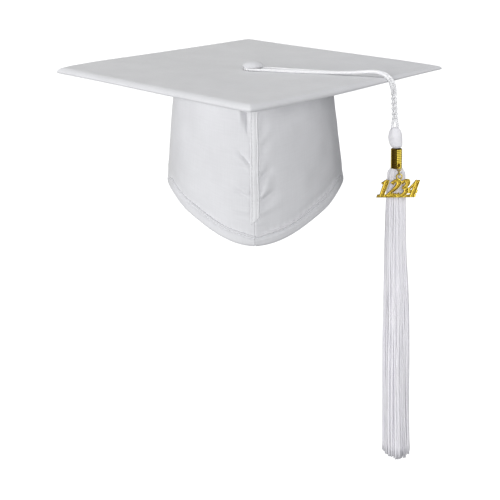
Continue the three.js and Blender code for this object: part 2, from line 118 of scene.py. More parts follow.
def mesh_of(name, points, faces, loop_uv=None):
    """A smooth mesh object from points and faces. loop_uv gives each corner's place on its cloth."""
    mesh = bpy.data.meshes.new(name)
    mesh.from_pydata(points.tolist(), [], faces)
    if loop_uv is not None:
        layer = mesh.uv_layers.new(name="cloth")
        layer.data.foreach_set("uv", loop_uv.astype(np.float32).ravel())
    mesh.polygons.foreach_set("use_smooth", np.ones(len(faces), bool))
    mesh.update()
    return link(bpy.data.objects.new(name, mesh))


def full_turn(count):
    """Angles evenly round a circle."""
    return np.linspace(0, 2 * math.pi, count, endpoint=False)


def circle(radius, z, turn, centre=(0, 0)):
    """Points at the angles of turn about an upright axis. radius and z may differ from one to the next."""
    return np.stack([centre[0] + radius * np.cos(turn), centre[1] + radius * np.sin(turn), z + 0 * turn], 1)


def normed(vectors):
    return vectors / np.linalg.norm(vectors, axis=-1, keepdims=True)


def grid_faces(rows, columns, wrap_rows, wrap_columns, first=0):
    """The quads of a grid of points, joined round where it wraps, and the row and column of each corner."""
    r, c = np.meshgrid(
        np.arange(rows - (not wrap_rows)), np.arange(columns - (not wrap_columns)), indexing="ij"
    )
    r, c = r.ravel(), c.ravel()
    corner_rows = np.stack([r, r, r + 1, r + 1], 1)
    corner_columns = np.stack([c, c + 1, c + 1, c], 1)
    faces = first + (corner_rows % rows) * columns + corner_columns % columns
    return faces, corner_rows, corner_columns


def grid_object(name, points, u, v, wrap_rows=False, wrap_columns=False, end_caps=False):
    """A surface through a grid [row, column, xyz]. u and v are cloth lengths along its columns and rows.
    end_caps closes the first and the last column of a grid whose rows wrap."""
    rows, columns = points.shape[:2]
    faces, fr, fc = grid_faces(rows, columns, wrap_rows, wrap_columns)
    uv = np.stack([np.asarray(u)[fc], np.asarray(v)[fr]], -1).reshape(-1, 2)
    faces = faces.tolist()
    if end_caps:
        first = list(range(0, rows * columns, columns))
        faces += [first, [k + columns - 1 for k in reversed(first)]]
        uv = np.concatenate([uv, np.zeros((2 * rows, 2))])
    return mesh_of(name, points.reshape(-1, 3), faces, uv)


def turned_object(name, loops, around):
    """A surface through closed loops. around gives each point's place on its loop, and the end's."""
    return grid_object(name, np.stack(loops), around, np.linspace(0, 20 * MM, len(loops)), wrap_columns=True)


def many_tubes(name, paths, radii, sides=6, turns=0.0, lobes=None, flatten=None):
    """Closed tubes along many paths, as one mesh. radii is one radius for each path or each point of it."""
    all_points, all_faces, all_uv, first = [], [], [], 0
    for number, path in enumerate(paths):
        path = np.asarray(path, float)
        count = len(path)
        radius = np.broadcast_to(radii[number], (count,))
        along, side, up = path_frames(path)
        travelled = lengths_along(path)
        angle = full_turn(sides)
        swing = turns * travelled[:, None] + angle[None, :]
        reach = radius[:, None] * (1.0 if lobes is None else lobes(angle)[None, :])
        squash = 1.0 if flatten is None else flatten(path)[:, None]
        offset = side[:, None, :] * (np.cos(swing) * reach)[..., None]
        offset = offset + up[:, None, :] * (np.sin(swing) * reach)[..., None]
        offset[..., 2] *= squash
        all_points.append((path[:, None, :] + offset).reshape(-1, 3))
        faces, fr, fc = grid_faces(count, sides, False, True, first)
        faces, fr, fc = faces[:, ::-1], fr[:, ::-1], fc[:, ::-1]
        all_faces.extend(faces.tolist())
        all_uv.append(np.stack([fc / sides, travelled[fr]], -1).reshape(-1, 2))
        for end, order in ((0, 1), (count - 1, -1)):
            all_faces.append([first + end * sides + k for k in range(sides)][::order])
            all_uv.append(np.stack([np.full(sides, 0.5), np.full(sides, travelled[end])], -1))
        first += count * sides
    return mesh_of(name, np.concatenate(all_points), all_faces, np.concatenate(all_uv))


def lengths_along(path):
    steps = np.linalg.norm(np.diff(path, axis=0), axis=1)
    return np.concatenate([[0], np.cumsum(steps)])


def path_frames(path):
    """Along, side and up for each point of a path, carried along it without twisting."""
    along = normed(np.gradient(path, axis=0))
    first = np.cross(along[0], (0.0, 0.0, 1.0))
    if np.linalg.norm(first) < 0.1:
        first = np.cross(along[0], (0.0, 1.0, 0.0))
    side = np.empty_like(path)
    side[0] = normed(first)
    for i in range(1, len(path)):
        side[i] = normed(side[i - 1] - along[i] * (side[i - 1] @ along[i]))
    return along, side, np.cross(side, along)


def smooth_path(points, step):
    """A smooth line through given points, with points about step apart."""
    p = np.asarray(points, float)
    ends = np.concatenate([[2 * p[0] - p[1]], p, [2 * p[-1] - p[-2]]])
    pieces = []
    for i in range(1, len(ends) - 2):
        a, b, c, d = ends[i - 1 : i + 3]
        t = np.linspace(0, 1, 24, endpoint=False)[:, None]
        pieces.append(
            0.5 * (2 * b + (c - a) * t + (2 * a - 5 * b + 4 * c - d) * t**2 + (3 * b - a - 3 * c + d) * t**3)
        )
    fine = np.concatenate([*pieces, p[-1:]])
    travelled = lengths_along(fine)
    at = np.linspace(0, travelled[-1], max(2, math.ceil(travelled[-1] / step) + 1))
    return np.stack([np.interp(at, travelled, fine[:, k]) for k in range(3)], 1)


def thicken(obj, thickness, offset=-1.0):
    """Gives a cloth surface its thickness, inward from its face."""
    solidify = obj.modifiers.new("thickness", "SOLIDIFY")
    solidify.thickness = thickness
    solidify.offset = offset
    return obj


def smoothstep(low, high, x):
    t = np.clip((np.asarray(x, float) - low) / (high - low), 0, 1)
    return t * t * (3 - 2 * t)


def mix(ends, share):
    return ends[0] + (ends[1] - ends[0]) * share


RIPPLE_WAVES = 9


def ripples(x, y, wavelength, seed, stretch=(1.0, 1.0)):
    """Soft irregular waves over a plane, about -1 to 1, the same ones for the same seed."""
    rng = np.random.default_rng(seed)
    x, y = np.broadcast_arrays(np.asarray(x, float), np.asarray(y, float))
    total = np.zeros(x.shape)
    for _ in range(RIPPLE_WAVES):
        direction = rng.uniform(0, 2 * math.pi)
        size = wavelength * rng.uniform(0.7, 1.6)
        kx = 2 * math.pi / size * math.cos(direction) / stretch[0]
        ky = 2 * math.pi / size * math.sin(direction) / stretch[1]
        total += np.sin(kx * x + ky * y + rng.uniform(0, 2 * math.pi))
    return total / math.sqrt(RIPPLE_WAVES)


# ---- Materials ----

WAVE_LENGTH = 2 * math.pi / 20  # of the wave texture at a scale of 1


class Nodes:
    """Short ways to add shader nodes to a material."""

    def __init__(self, name):
        self.material = bpy.data.materials.new(name)
        self.material.use_nodes = True
        self.tree = self.material.node_tree
        self.shader = self.tree.nodes["Principled BSDF"]

    def add(self, kind, inputs=(), **settings):
        node = self.tree.nodes.new(kind)
        for key, value in settings.items():
            setattr(node, key, value)
        for key, value in dict(inputs).items():
            self.feed(node.inputs[key], value)
        return node

    def feed(self, socket, value):
        if isinstance(value, bpy.types.NodeSocket):
            self.tree.links.new(value, socket)
        else:
            socket.default_value = value

    def set(self, **values):
        for key, value in values.items():
            self.feed(self.shader.inputs[key.replace("_", " ")], value)

    def uv(self):
        return self.add("ShaderNodeUVMap", uv_map="cloth").outputs["UV"]

    def rest_place(self):
        return self.add("ShaderNodeTexCoord").outputs["Object"]

    def noise(self, vector, scale, detail=3.0):
        """Noise at one scale, or at one for each axis."""
        if isinstance(scale, tuple):
            vector, scale = self.stretched(vector, scale), 1.0
        inputs = {"Vector": vector, "Scale": scale, "Detail": detail, "Roughness": 0.55}
        return self.add("ShaderNodeTexNoise", inputs).outputs["Fac"]

    def stretched(self, vector, scale):
        return self.add("ShaderNodeMapping", {"Vector": vector, "Scale": scale}).outputs["Vector"]

    def bands(self, vector, period, direction):
        inputs = {"Vector": vector, "Scale": WAVE_LENGTH / period}
        return self.add("ShaderNodeTexWave", inputs, bands_direction=direction).outputs["Fac"]

    def along(self, vector, axis):
        return self.add("ShaderNodeSeparateXYZ", {"Vector": vector}).outputs[axis]

    def math(self, operation, a, b=0.0):
        return self.add("ShaderNodeMath", {0: a, 1: b}, operation=operation).outputs[0]

    def average(self, a, b):
        return self.math("MULTIPLY", self.math("ADD", a, b), 0.5)

    def between(self, value, low, high, start=0.0, end=1.0):
        """Runs from low to high while the value runs from start to end."""
        inputs = {"Value": value, "From Min": start, "From Max": end, "To Min": low, "To Max": high}
        return self.add("ShaderNodeMapRange", inputs).outputs[0]

    def ramp(self, factor, *stops):
        node = self.add("ShaderNodeValToRGB", {"Fac": factor})
        ramp = node.color_ramp
        ramp.elements[0].position, ramp.elements[0].color = stops[0]
        ramp.elements[1].position, ramp.elements[1].color = stops[-1]
        for place, color in stops[1:-1]:
            ramp.elements.new(place).color = color
        return node.outputs["Color"]

    def tint(self, factor, color, spread, low, high):
        """Runs between two near shades of a colour while the factor runs from low to high."""
        dark, light = shades(color, spread)
        return self.ramp(factor, (low, dark), (high, light))

    def bump(self, height, distance, strength=1.0, normal=None):
        inputs = {"Height": height, "Distance": distance, "Strength": strength}
        if normal is not None:
            inputs["Normal"] = normal
        return self.add("ShaderNodeBump", inputs).outputs["Normal"]


def shades(color, spread):
    """Two near shades of a colour, for its variation."""
    dark = tuple(c * (1 - spread) for c in color)
    light = tuple(min(1, c * (1 + spread)) for c in color)
    return (*dark, 1), (*light, 1)


def woven(name, color, period=0.42 * MM, relief=0.05 * MM, roughness=0.72, sheen=0.25):
    """Plain-weave cloth: warp and weft that pass over each other, slubs, and soft patches of tone."""
    n = Nodes(name)
    uv = n.uv()
    warp = n.bands(uv, period, "X")
    weft = n.bands(uv, period, "Y")
    over = n.bands(uv, 2 * period, "DIAGONAL")
    under = n.math("SUBTRACT", 1.0, over)
    weave = n.math("ADD", n.math("MULTIPLY", warp, over), n.math("MULTIPLY", weft, under))
    slub_x = n.noise(uv, (60, 900, 1))
    slub_y = n.noise(uv, (900, 60, 1))
    slubs = n.average(slub_x, slub_y)
    patch = n.noise(uv, 28.0, detail=4)
    n.set(Base_Color=n.tint(n.average(slubs, patch), color, 0.035, 0.38, 0.62))
    n.set(Roughness=n.between(slubs, roughness - 0.06, roughness + 0.08))
    n.set(Normal=n.bump(slubs, 0.12 * MM, 0.35, n.bump(weave, relief, 0.2)))
    n.set(Sheen_Weight=sheen, Sheen_Roughness=0.45, IOR=1.45, Specular_IOR_Level=0.35)
    return n.material


def felted(name, color):
    """Non-woven lining: short matted fibres and a fine point-bonded pattern."""
    n = Nodes(name)
    uv = n.uv()
    fibres = n.noise(uv, (700, 2600, 1), detail=5)
    dots = n.math("MULTIPLY", n.bands(uv, 1.6 * MM, "X"), n.bands(uv, 1.6 * MM, "Y"))
    n.set(Base_Color=n.tint(fibres, color, 0.05, 0.35, 0.65))
    n.set(Roughness=0.9, Sheen_Weight=0.15, Sheen_Roughness=0.5)
    n.set(Normal=n.bump(dots, 0.06 * MM, 0.5, n.bump(fibres, 0.08 * MM, 0.5)))
    return n.material


YARN_LEAN = 0.6


def spun(name, color, period, roughness=0.5, sheen=0.4, relief=1.0, groove=None):
    """Silky twisted yarn: fibres that run slantwise along a thread. groove, when given, paints shade into the
    lines between its three plies: how dark that painted shade is, where along the thread its middle is, and
    how far from there it starts to deepen and is strongest."""
    n = Nodes(name)
    uv = n.uv()
    slant = n.stretched(uv, (1.0, YARN_LEAN / period / 40, 1))
    fibres = n.noise(slant, (26, 260, 1), detail=4)
    tone = n.noise(uv, (3, 40, 1))
    plies = n.bands(n.stretched(uv, (1, 1 / period / 20, 1)), WAVE_LENGTH, "DIAGONAL")
    dark, light = shades(color, 0.06)
    blend = n.average(tone, fibres)
    stops = [(0.36, dark), (0.64, light)]
    if groove:
        depth, middle, start, full = groove
        # Painted shade: the base colour darkens in the grooves between the three plies, faintly near the
        # middle and more away from it.
        round_it = n.math("MULTIPLY", n.along(uv, "X"), 3 * 2 * math.pi)
        painted_groove_shade = n.math("MULTIPLY", n.math("SUBTRACT", 1.0, n.math("COSINE", round_it)), 0.5)
        from_middle = n.math("ABSOLUTE", n.math("SUBTRACT", n.along(uv, "Y"), middle))
        strength = n.between(from_middle, 0.08, 0.36, start, full)
        blend = n.math("SUBTRACT", blend, n.math("MULTIPLY", n.math("POWER", painted_groove_shade, 2.5), strength))
        stops = [(0.14, tuple(c * (1 - depth) for c in color) + (1,)), *stops]
    n.set(Base_Color=n.ramp(blend, *stops))
    n.set(Roughness=n.between(fibres, roughness - 0.1, roughness + 0.12))
    n.set(Normal=n.bump(plies, 0.08 * MM, 0.5 * relief, n.bump(fibres, 0.05 * MM, 0.6 * relief)))
    n.set(Sheen_Weight=sheen, Sheen_Roughness=0.35)
    n.set(Subsurface_Weight=0.35, Subsurface_Scale=0.003, Subsurface_Radius=(1, 1, 1))
    return n.material


TARNISH = (0.3, 0.17, 0.02)


def metal(name, color, roughness, grooves=None):
    """Polished plated metal: fine polishing lines, smudges, and tone that shifts a little. grooves gives the
    distances from the tassel's axis between which the tarnish in its grooves gives way to clean metal."""
    n = Nodes(name)
    place = n.rest_place()
    lines = n.noise(place, (900, 900, 9000), detail=2)
    smudge = n.noise(place, 260.0, detail=4)
    tone = n.tint(smudge, color, 0.08, 0.3, 0.7)
    if grooves:
        to_level = {0: place, 1: (1, 1, 0)}
        level = n.add("ShaderNodeVectorMath", to_level, operation="MULTIPLY").outputs["Vector"]
        from_axis = {0: level, 1: (TASSEL_X, TASSEL_Y, 0)}
        out = n.add("ShaderNodeVectorMath", from_axis, operation="DISTANCE").outputs["Value"]
        clean = n.between(out, 0, 1, *grooves)
        tone = n.add("ShaderNodeMix", {0: clean, 6: (*TARNISH, 1), 7: tone}, data_type="RGBA").outputs[2]
    n.set(Base_Color=tone, Metallic=1.0)
    n.set(Roughness=n.between(smudge, roughness * 0.75, roughness * 1.5))
    n.set(Normal=n.bump(lines, 0.02 * MM, 0.3))
    return n.material


def antiqued_with_painted_shade(name, bright, dark):
    """Gilt coloured darker towards its back: its sunken faces darker as an antique patina, the sides of its
    strokes dark with painted shade, and its raised rims polished bright.
    """
    n = Nodes(name)
    place = n.rest_place()
    grime = n.noise(place, 900.0, detail=5)
    middle = sum(corner.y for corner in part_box("charm")) / 2
    # Painted shade: the base colour runs from dark at the back to bright at the front, which paints shade
    # onto the strokes' sides; in the sunken faces it stands for patina.
    raised = n.between(n.along(place, "Y"), 0, 1, middle - 0.5 * MM, middle - 1.15 * MM)
    patina_and_painted_shade = n.math("ADD", raised, n.math("MULTIPLY", n.math("SUBTRACT", grime, 0.5), 1.7))
    n.set(Base_Color=n.ramp(patina_and_painted_shade, (0.2, (*dark, 1)), (0.62, (*bright, 1))), Metallic=1.0)
    n.set(Roughness=n.between(patina_and_painted_shade, 0.5, 0.22))
    n.set(Normal=n.bump(grime, 0.06 * MM, 0.4))
    return n.material


def moulded(name, color, roughness):
    """Moulded plastic with a fine sparked grain."""
    n = Nodes(name)
    place = n.rest_place()
    grain = n.noise(place, 2600.0, detail=3)
    n.set(Base_Color=n.tint(n.noise(place, 180.0), color, 0.03, 0.35, 0.65))
    n.set(Roughness=n.between(grain, roughness - 0.08, roughness + 0.08))
    n.set(Normal=n.bump(grain, 0.03 * MM, 0.4))
    return n.material


def grey_board(name, color):
    """Recycled grey board: flecks of fibre and a faint roller texture."""
    n = Nodes(name)
    place = n.rest_place()
    fibre = n.noise(place, (400, 1200, 400), detail=6)
    flecks = n.add("ShaderNodeTexVoronoi", {"Vector": place, "Scale": 420.0}).outputs["Distance"]
    n.set(Base_Color=n.tint(n.math("MULTIPLY", n.math("ADD", fibre, flecks), 0.6), color, 0.14, 0.25, 0.6))
    n.set(Roughness=0.92, Normal=n.bump(fibre, 0.08 * MM, 0.5))
    return n.material


CLOTH = woven("cap_cloth", (0.79, 0.79, 0.81))
# The pressed seam strips' cloth: the cap's cloth with its base colour painted lighter as painted sheen, a
# little less rough and with a little more sheen.
CLOTH_PAINTED_SHEEN = woven("cap_cloth_folded_painted_sheen", (0.83, 0.83, 0.845), roughness=0.66, sheen=0.3)
LINING = felted("lining", (0.72, 0.72, 0.74))
ELASTIC = woven("elastic_knit", (0.8, 0.8, 0.81), period=0.9 * MM, relief=0.2 * MM)
THREAD = spun("tassel_thread", (0.93, 0.917, 0.985), 3.2 * MM, roughness=0.45, sheen=0.08, relief=0.25)
WOUND = spun("wound_thread", (0.93, 0.92, 0.985), 6 * MM, roughness=0.42)
STITCH = spun("sewing_thread", (0.82, 0.82, 0.84), 1.2 * MM, roughness=0.5)
GOLD = (0.84, 0.66, 0.1)
GILT = metal("gilt", GOLD, 0.14)
# The charm's dark colour: patina in the sunken faces, and painted shade on the sides of the strokes.
CHARM_GILT = antiqued_with_painted_shade("charm_gilt", (1.0, 0.78, 0.12), (0.36, 0.18, 0.02))
STEEL = metal("steel", (0.62, 0.63, 0.65), 0.32)
PLASTIC = moulded("button_plastic", (0.74, 0.73, 0.69), 0.45)
BOARD = grey_board("grey_board", (0.42, 0.39, 0.33))


def dress(obj, material, body, replaces=()):
    """Gives a finished piece its material and its body, and hides the CAD nodes that it stands for."""
    obj.data.materials.clear()
    obj.data.materials.append(material)
    if body:
        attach(obj, body)
    if replaces:
        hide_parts(*replaces)
    return obj


# ---- Cord ----
# Points are [along the cord's way out, sideways, height], in mm from the button's axis and the origin.

LOOP_Z = BOARD_TOP / MM + 1.8
# How far out, how far sideways, height over LOOP_Z, and how far both strands bow sideways, towards the front.
LOOP_HALF = [
    (-5.4, 0, -0.15, 2.6), (-3.9, 4.2, -0.15, 2.9), (0, 6.0, -0.15, 3.0), (6, 5.8, -0.1, 2.7),
    (13, 5.0, 0, 2.2), (22, 4.6, 0, 1.9), (34, 4.5, 0, 1.8), (48, 3.8, 0.2, 1.5), (62, 2.4, 0.3, 0.8),
    (76, 1.5, 0.5, 0.2), (92, 1.6, 1.4, 0), (105, 1.5, 2.9, 0), (113, 1.45, 3.6, 0),
]
# Over the board's edge: (out, height, half distance, turn of the pair in degrees).
BEND = [
    (119.3, LOOP_Z + 2.9, 1.45, 8), (123.8, LOOP_Z + 1.2, 1.5, 26), (127.2, LOOP_Z - 1.5, 1.5, 44),
    (129.5, 94.2, 1.45, 58), (130.7, 90.5, 1.4, 72), (131.2, 87, 1.35, 96),
]
DROP_TWIST = (84.0, 63.0)  # the two strands wind about each other between these heights
DROP_TURNS = (110, 966.5)  # the pair's turn at the winding's start and end, in degrees
DROP_APART = 1.35
DROP_OUT = (131.4, 132.6)  # how far out the winding starts and ends
DROP_LEGS = [(60.6, 1.5), (57.8, 2.25), (54.8, 2.1)]  # (height, half distance) below the winding
CORD_DIAMETER = 2.9 * MM
CORD_PITCH = 5.2 * MM


def of_pair(out, z, apart, degrees):
    """A strand's place, apart from the pair's middle in a direction turned from sideways towards outwards."""
    turn = math.radians(degrees)
    return (out + apart * math.sin(turn), apart * math.cos(turn), z)


def cord_half(side):
    """One strand from round the button to inside the tassel's head."""
    points = [(out, across * side - bow, LOOP_Z + rise) for out, across, rise, bow in LOOP_HALF]
    points += [of_pair(out, z, apart * side, degrees) for out, z, apart, degrees in BEND]
    for share in np.linspace(0, 1, 31):
        out, z, degrees = (mix(ends, share) for ends in (DROP_OUT, DROP_TWIST, DROP_TURNS))
        points.append(of_pair(out, z, DROP_APART * side, degrees))
    points += [of_pair(DROP_OUT[1], z, half * side, DROP_TURNS[1]) for z, half in DROP_LEGS]
    return points


def in_frame(points):
    """Cord points turned to the cord's way out, in metres."""
    p = np.array(points, float) * MM
    c, s = math.cos(CORD_AZIMUTH), math.sin(CORD_AZIMUTH)
    return np.stack([p[:, 0] * c - p[:, 1] * s, p[:, 0] * s + p[:, 1] * c, p[:, 2]], 1)


def three_plies(angle):
    """How far out three twisted plies reach, as a share of the cord's radius."""
    third = (angle + math.pi / 3) % (2 * math.pi / 3) - math.pi / 3
    return 0.47 * np.cos(third) + np.sqrt(np.maximum(0, 0.53**2 - (0.47 * np.sin(third)) ** 2))


def make_cord():
    route = cord_half(-1)[:0:-1] + cord_half(1)
    path = smooth_path(in_frame(route), 0.55 * MM)
    length = float(lengths_along(path)[-1])

    def pressed(points):
        near_button = np.linalg.norm(points[:, :2], axis=1)
        return 1 - 0.2 * (1 - smoothstep(9 * MM, 18 * MM, near_button))

    turns = 2 * math.pi / CORD_PITCH
    cord = many_tubes("cord", [path], [CORD_DIAMETER / 2], 30, turns, three_plies, pressed)
    # Painted shade in the cord's ply grooves: faint along the board, and deeper over the last 70 mm or so of
    # each end, which hang down to the tassel.
    groove = (0.46, length / 2, length / 2 - 70 * MM, length / 2 - 48 * MM)
    yarn = spun("cord_yarn", (0.97, 0.97, 0.995), 5 * MM, roughness=0.55, sheen=0.3, groove=groove)
    dress(cord, yarn, None, ["cord_loop", "cord_drop_left", "cord_drop_right"])
    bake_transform(cord)
    return cord, path, length


cord, cord_path, cord_length = make_cord()


# ---- Stitches ----


STITCH_LENGTH = 2.4 * MM
STITCH_GAP = 0.9 * MM
STITCH_RADIUS = 0.22 * MM


def stitch_row(name, path, outward):
    """A row of separate stitches along a path: each one dips into the cloth at both ends."""
    travelled = lengths_along(path)
    starts = np.arange(STITCH_GAP, travelled[-1] - STITCH_LENGTH, STITCH_LENGTH + STITCH_GAP)
    share = np.linspace(0, 1, 7)
    at = starts[:, None] + STITCH_LENGTH * share[None, :]
    place = np.stack([np.interp(at, travelled, path[:, k]) for k in range(3)], -1)
    out = np.stack([np.interp(at, travelled, outward[:, k]) for k in range(3)], -1)
    lift = STITCH_RADIUS * (2.2 * np.sin(math.pi * share) ** 0.6 - 1.2)
    place = place + out * lift[None, :, None]
    widths = STITCH_RADIUS * (0.55 + 0.45 * np.sin(math.pi * share) ** 0.5)
    dress(many_tubes(name, list(place), [widths] * len(place)), STITCH, "cap")


# ---- Board ----

BOARD_SIDES = 88  # points along each side of the square
CORNER_RADIUS = {"front": 3.4 * MM, "side": 1.2 * MM}
# How far in the edge's roll starts, on the three parts of the outline.
ROLL = {"front_left": 8.0 * MM, "front_right": 4.6 * MM, "back": 2.2 * MM}
ROLL_END = math.radians(63)  # how far the cloth has turned down where it reaches the edge
ROLL_DEPTH = 0.62  # the share of the board's thickness that the roll takes up
TURN_UNDER = 2.2 * MM  # the radius by which it turns under below that
CLOTH_RISE = 0.3 * MM  # how far the top cloth's face stands over the CAD board's
TOP_CLOTH, BOTTOM_CLOTH, STIFFENER = 0.5 * MM, 0.4 * MM, 1.9 * MM  # thicknesses
BACK_RAISED = 0.9 * MM
# The board is a little warped: how far its two faces stand above flat, in mm, at places across it.
WARP_AT = (-170, -129, -94, -58, -20, 0, 20, 50, 75, 100, 123, 150, 170)
WARP_TOP = (3.2, 2.4, 1.5, 0.8, 0.2, 0, 0, 0.2, 0.5, 0.8, 1.0, 1.4, 2.2)
WARP_BOTTOM = (4.4, 3.6, 2.4, 1.4, 0.5, 0.2, -0.1, 0.1, 0.7, 1.9, 3.1, 4.4, 4.8)


def warp(x, heights):
    """The board's warp at x, in metres, with its kinks softened."""
    return sum(np.interp(x / MM + d, WARP_AT, heights) for d in (-12, -4, 4, 12)) / 4 * MM


def board_top_z(x, y):
    """The top face rises a little more towards the back edges."""
    outward = (np.abs(x - BOARD_X) + y) / (BOARD_HALF * math.sqrt(2))
    back = smoothstep(0.35, 1.0, outward) * smoothstep(-0.05, 0.3, y / BOARD_HALF)
    return BOARD_TOP + CLOTH_RISE + warp(x, WARP_TOP) + BACK_RAISED * back


def board_bottom_z(x):
    return BOARD_BOTTOM + warp(x, WARP_BOTTOM)


def square_round(count=BOARD_SIDES):
    """Points round a square of half side 1, corners on the axes, and how far each is from a corner."""
    share = np.linspace(0, 1, count, endpoint=False)
    share = 0.35 * share + 0.65 * (0.5 - 0.5 * np.cos(math.pi * share))
    quarters = (0, math.pi / 2, math.pi, -math.pi / 2)
    corners = [math.sqrt(2) * np.array([math.cos(a), math.sin(a)]) for a in quarters]
    points = [corners[k] + (corners[(k + 1) % 4] - corners[k]) * share[:, None] for k in range(4)]
    return np.concatenate(points), np.tile(np.minimum(share, 1 - share), 4)


def board_sheet(name, rings, height_of):
    """A square sheet from the middle outward. Each ring is (share of the flat part, inset at the edge, roll,
    depth): roll is how much of the edge's roll it is inside by, depth is 0 on the top face and 1 below."""
    unit, share = square_round()
    back = smoothstep(-0.1, 0.1, unit[:, 1])
    right = smoothstep(-0.12, 0.12, unit[:, 0])
    roll = mix((mix((ROLL["front_left"], ROLL["front_right"]), right), ROLL["back"]), back)
    corner = mix((CORNER_RADIUS["front"], CORNER_RADIUS["side"]), smoothstep(0.5, 1.2, np.abs(unit[:, 0])))
    away = unit / np.linalg.norm(unit, axis=1)[:, None]
    rows = []
    for flat_share, inset, roll_share, depth in rings:
        half = (BOARD_HALF - inset - roll * roll_share) * flat_share
        pull = np.exp(-share * 2 * half / (0.9 * corner)) * 0.42 * corner * smoothstep(0, 0.3, flat_share)
        ring = unit * half[:, None] - away * pull[:, None]
        x, y = ring[:, 0] + BOARD_X, ring[:, 1]
        near_edge = math.exp(-(((1 - flat_share) * 60 - 1.2) ** 2)) * (depth == 0)
        groove = -0.22 * MM * right * (1 - back) * near_edge
        z = mix((board_top_z(x, y), board_bottom_z(x)), depth) + groove
        rows.append(np.stack([x, y, z], 1))
    points = np.stack(rows)
    flat = points.copy()
    points[..., 2] += height_of(flat[..., 0], flat[..., 1])
    count = points.shape[1]
    faces = grid_faces(len(rings), count, False, True)[0][:, ::-1]
    all_faces = faces.tolist() + [list(range(count))]
    corners = np.concatenate([flat.reshape(-1, 3)[faces.ravel()], flat[0]])
    uv = np.stack([corners[:, 0] - corners[:, 1], corners[:, 0] + corners[:, 1]], -1) / math.sqrt(2)
    return mesh_of(name, points.reshape(-1, 3), all_faces, uv)


def board_cloth_height(x, y):
    """The top cloth isn't quite flat: long soft swells, faint pulls toward the corners and the button."""
    xm, ym = x / MM, y / MM
    swell = 0.35 * ripples(xm, ym, 120, 11)
    fine = 0.10 * ripples(xm, ym, 34, 12)
    edge = np.abs(xm - BOARD_X / MM) + np.abs(ym)
    pulls = 0.14 * np.sin(np.arctan2(ym, xm) * 22 + 2 * ripples(xm, ym, 90, 13)) * smoothstep(60, 160, edge)
    return (swell + fine + pulls) * (1 - smoothstep(150, 169, edge)) * 0.8 * MM


def flat_shares(count):
    """Ring sizes for a flat face, from near the middle to its edge, closer together near the edge."""
    return 1 - (1 - np.linspace(0.02, 1, count)) ** 1.25


def make_board():
    rings = [(share, 0, 1, 0) for share in flat_shares(70)]
    for angle in np.linspace(0, ROLL_END, 14)[1:]:
        inside = 1 - math.sin(angle) / math.sin(ROLL_END)
        rings.append((1, 0, inside, ROLL_DEPTH * (1 - math.cos(angle)) / (1 - math.cos(ROLL_END))))
    for angle in np.linspace(0.2, math.pi / 2, 8):
        depth = mix((ROLL_DEPTH, 1.0), math.sin(angle))
        rings.append((1, TURN_UNDER * (1 - math.cos(angle)), 0, depth))
    rings += [(1, 3.0 * MM, 0, 1.01), (1, 3.9 * MM, 0, 1.0)]
    top = board_sheet("board_cover_top", rings, board_cloth_height)
    thicken(top, TOP_CLOTH)
    dress(top, CLOTH, "cap", ["board_top_cover"])

    rings = [(share, 4.6 * MM, 0, 1.0) for share in flat_shares(50)]
    rings += [(1, 4.0 * MM, 0, 0.97), (1, 3.5 * MM, 0, 0.9), (1, 2.6 * MM, 0, 0.885)]
    bottom = board_sheet("board_cover_bottom", rings, lambda x, y: 0.1 * MM * ripples(x / MM, y / MM, 70, 15))
    thicken(bottom, BOTTOM_CLOTH, 1.0)
    dress(bottom, CLOTH, "cap", ["board_bottom_cover"])

    rings = [(share, 2.5 * MM, 0.5, 0.26) for share in flat_shares(40)]
    stiffener = board_sheet("board_stiffener", rings, lambda x, y: 0 * x)
    thicken(stiffener, STIFFENER)
    dress(stiffener, BOARD, "cap", ["board_core"])


make_board()


# ---- Crown ----

CROWN_HEIGHT = BOARD_BOTTOM
# Half its width, and how deep it is to the front and to the back: at the board, at the opening.
HALF_WIDTH = (68.8 * MM, 77.7 * MM)
HALF_FRONT = (84 * MM, 97 * MM)
HALF_BACK = (84 * MM, 94 * MM)
FRONT_PEAK = 36.8 * MM
PEAK_SHARPNESS = 2.65
SIDE_DROOP = 2.2 * MM  # the edge hangs a little fuller between the sides and the front point
BACK_RISE = 3 * MM
KEEL = (0.16, 0.22)  # the front seam stands forward as a soft ridge: left and right slopes
KEEL_REACH = 42 * MM
# The crown leans a little to the right below the board: how far, in mm, at heights in mm.
LEAN_AT = (-40, -12, 8, 25, 42, 50, 66, 83, 91.5)
LEAN = (2.0, 1.9, 1.2, 1.0, 0.6, 0.5, -0.1, -0.6, -0.8)
# The hem is lower at the sides, over this reach as a share of the half depth, and at the front point.
HEM = 10.5 * MM
HEM_TAPER = 6.8 * MM
HEM_SIDE_REACH = 0.29
HEM_DIP = 1.8 * MM
HEM_FLAT = 0.62  # the share of its thickness outside that the hem loses at the sides
PANEL_CLOTH, STRIP_CLOTH, LINING_CLOTH = 0.7 * MM, 0.5 * MM, 0.4 * MM  # thicknesses
LINING_INSIDE = 2.0 * MM  # how far in the lining lies
WELT_HALF = 4.1 * MM
WELT_END = -17 * MM
WELT_LIFT = 1.35 * MM
STRIP_TILT = 0.4  # the front strip leans to the left: its right side stands higher
END_SLANT = 3.5 * MM  # the front strip's end is cut slantwise
FRONT = -math.pi / 2


def edge_z(angle):
    """The height of the crown's lower edge at an angle about +Z."""
    forward = np.maximum(0, -np.sin(angle))
    backward = np.maximum(0, np.sin(angle))
    droop = SIDE_DROOP * np.exp(-(((forward - 0.6) / 0.17) ** 2))
    return BACK_RISE * backward**2 - FRONT_PEAK * forward**PEAK_SHARPNESS - droop


def at_sides(angle):
    """1 at the crown's two sides, falling to 0 towards its front and its back."""
    return np.exp(-((np.sin(angle) / HEM_SIDE_REACH) ** 2))


def hem_height(angle):
    at_tip = np.exp(-(((angle - FRONT) / 0.11) ** 2))
    return HEM - HEM_TAPER * at_sides(angle) - HEM_DIP * at_tip


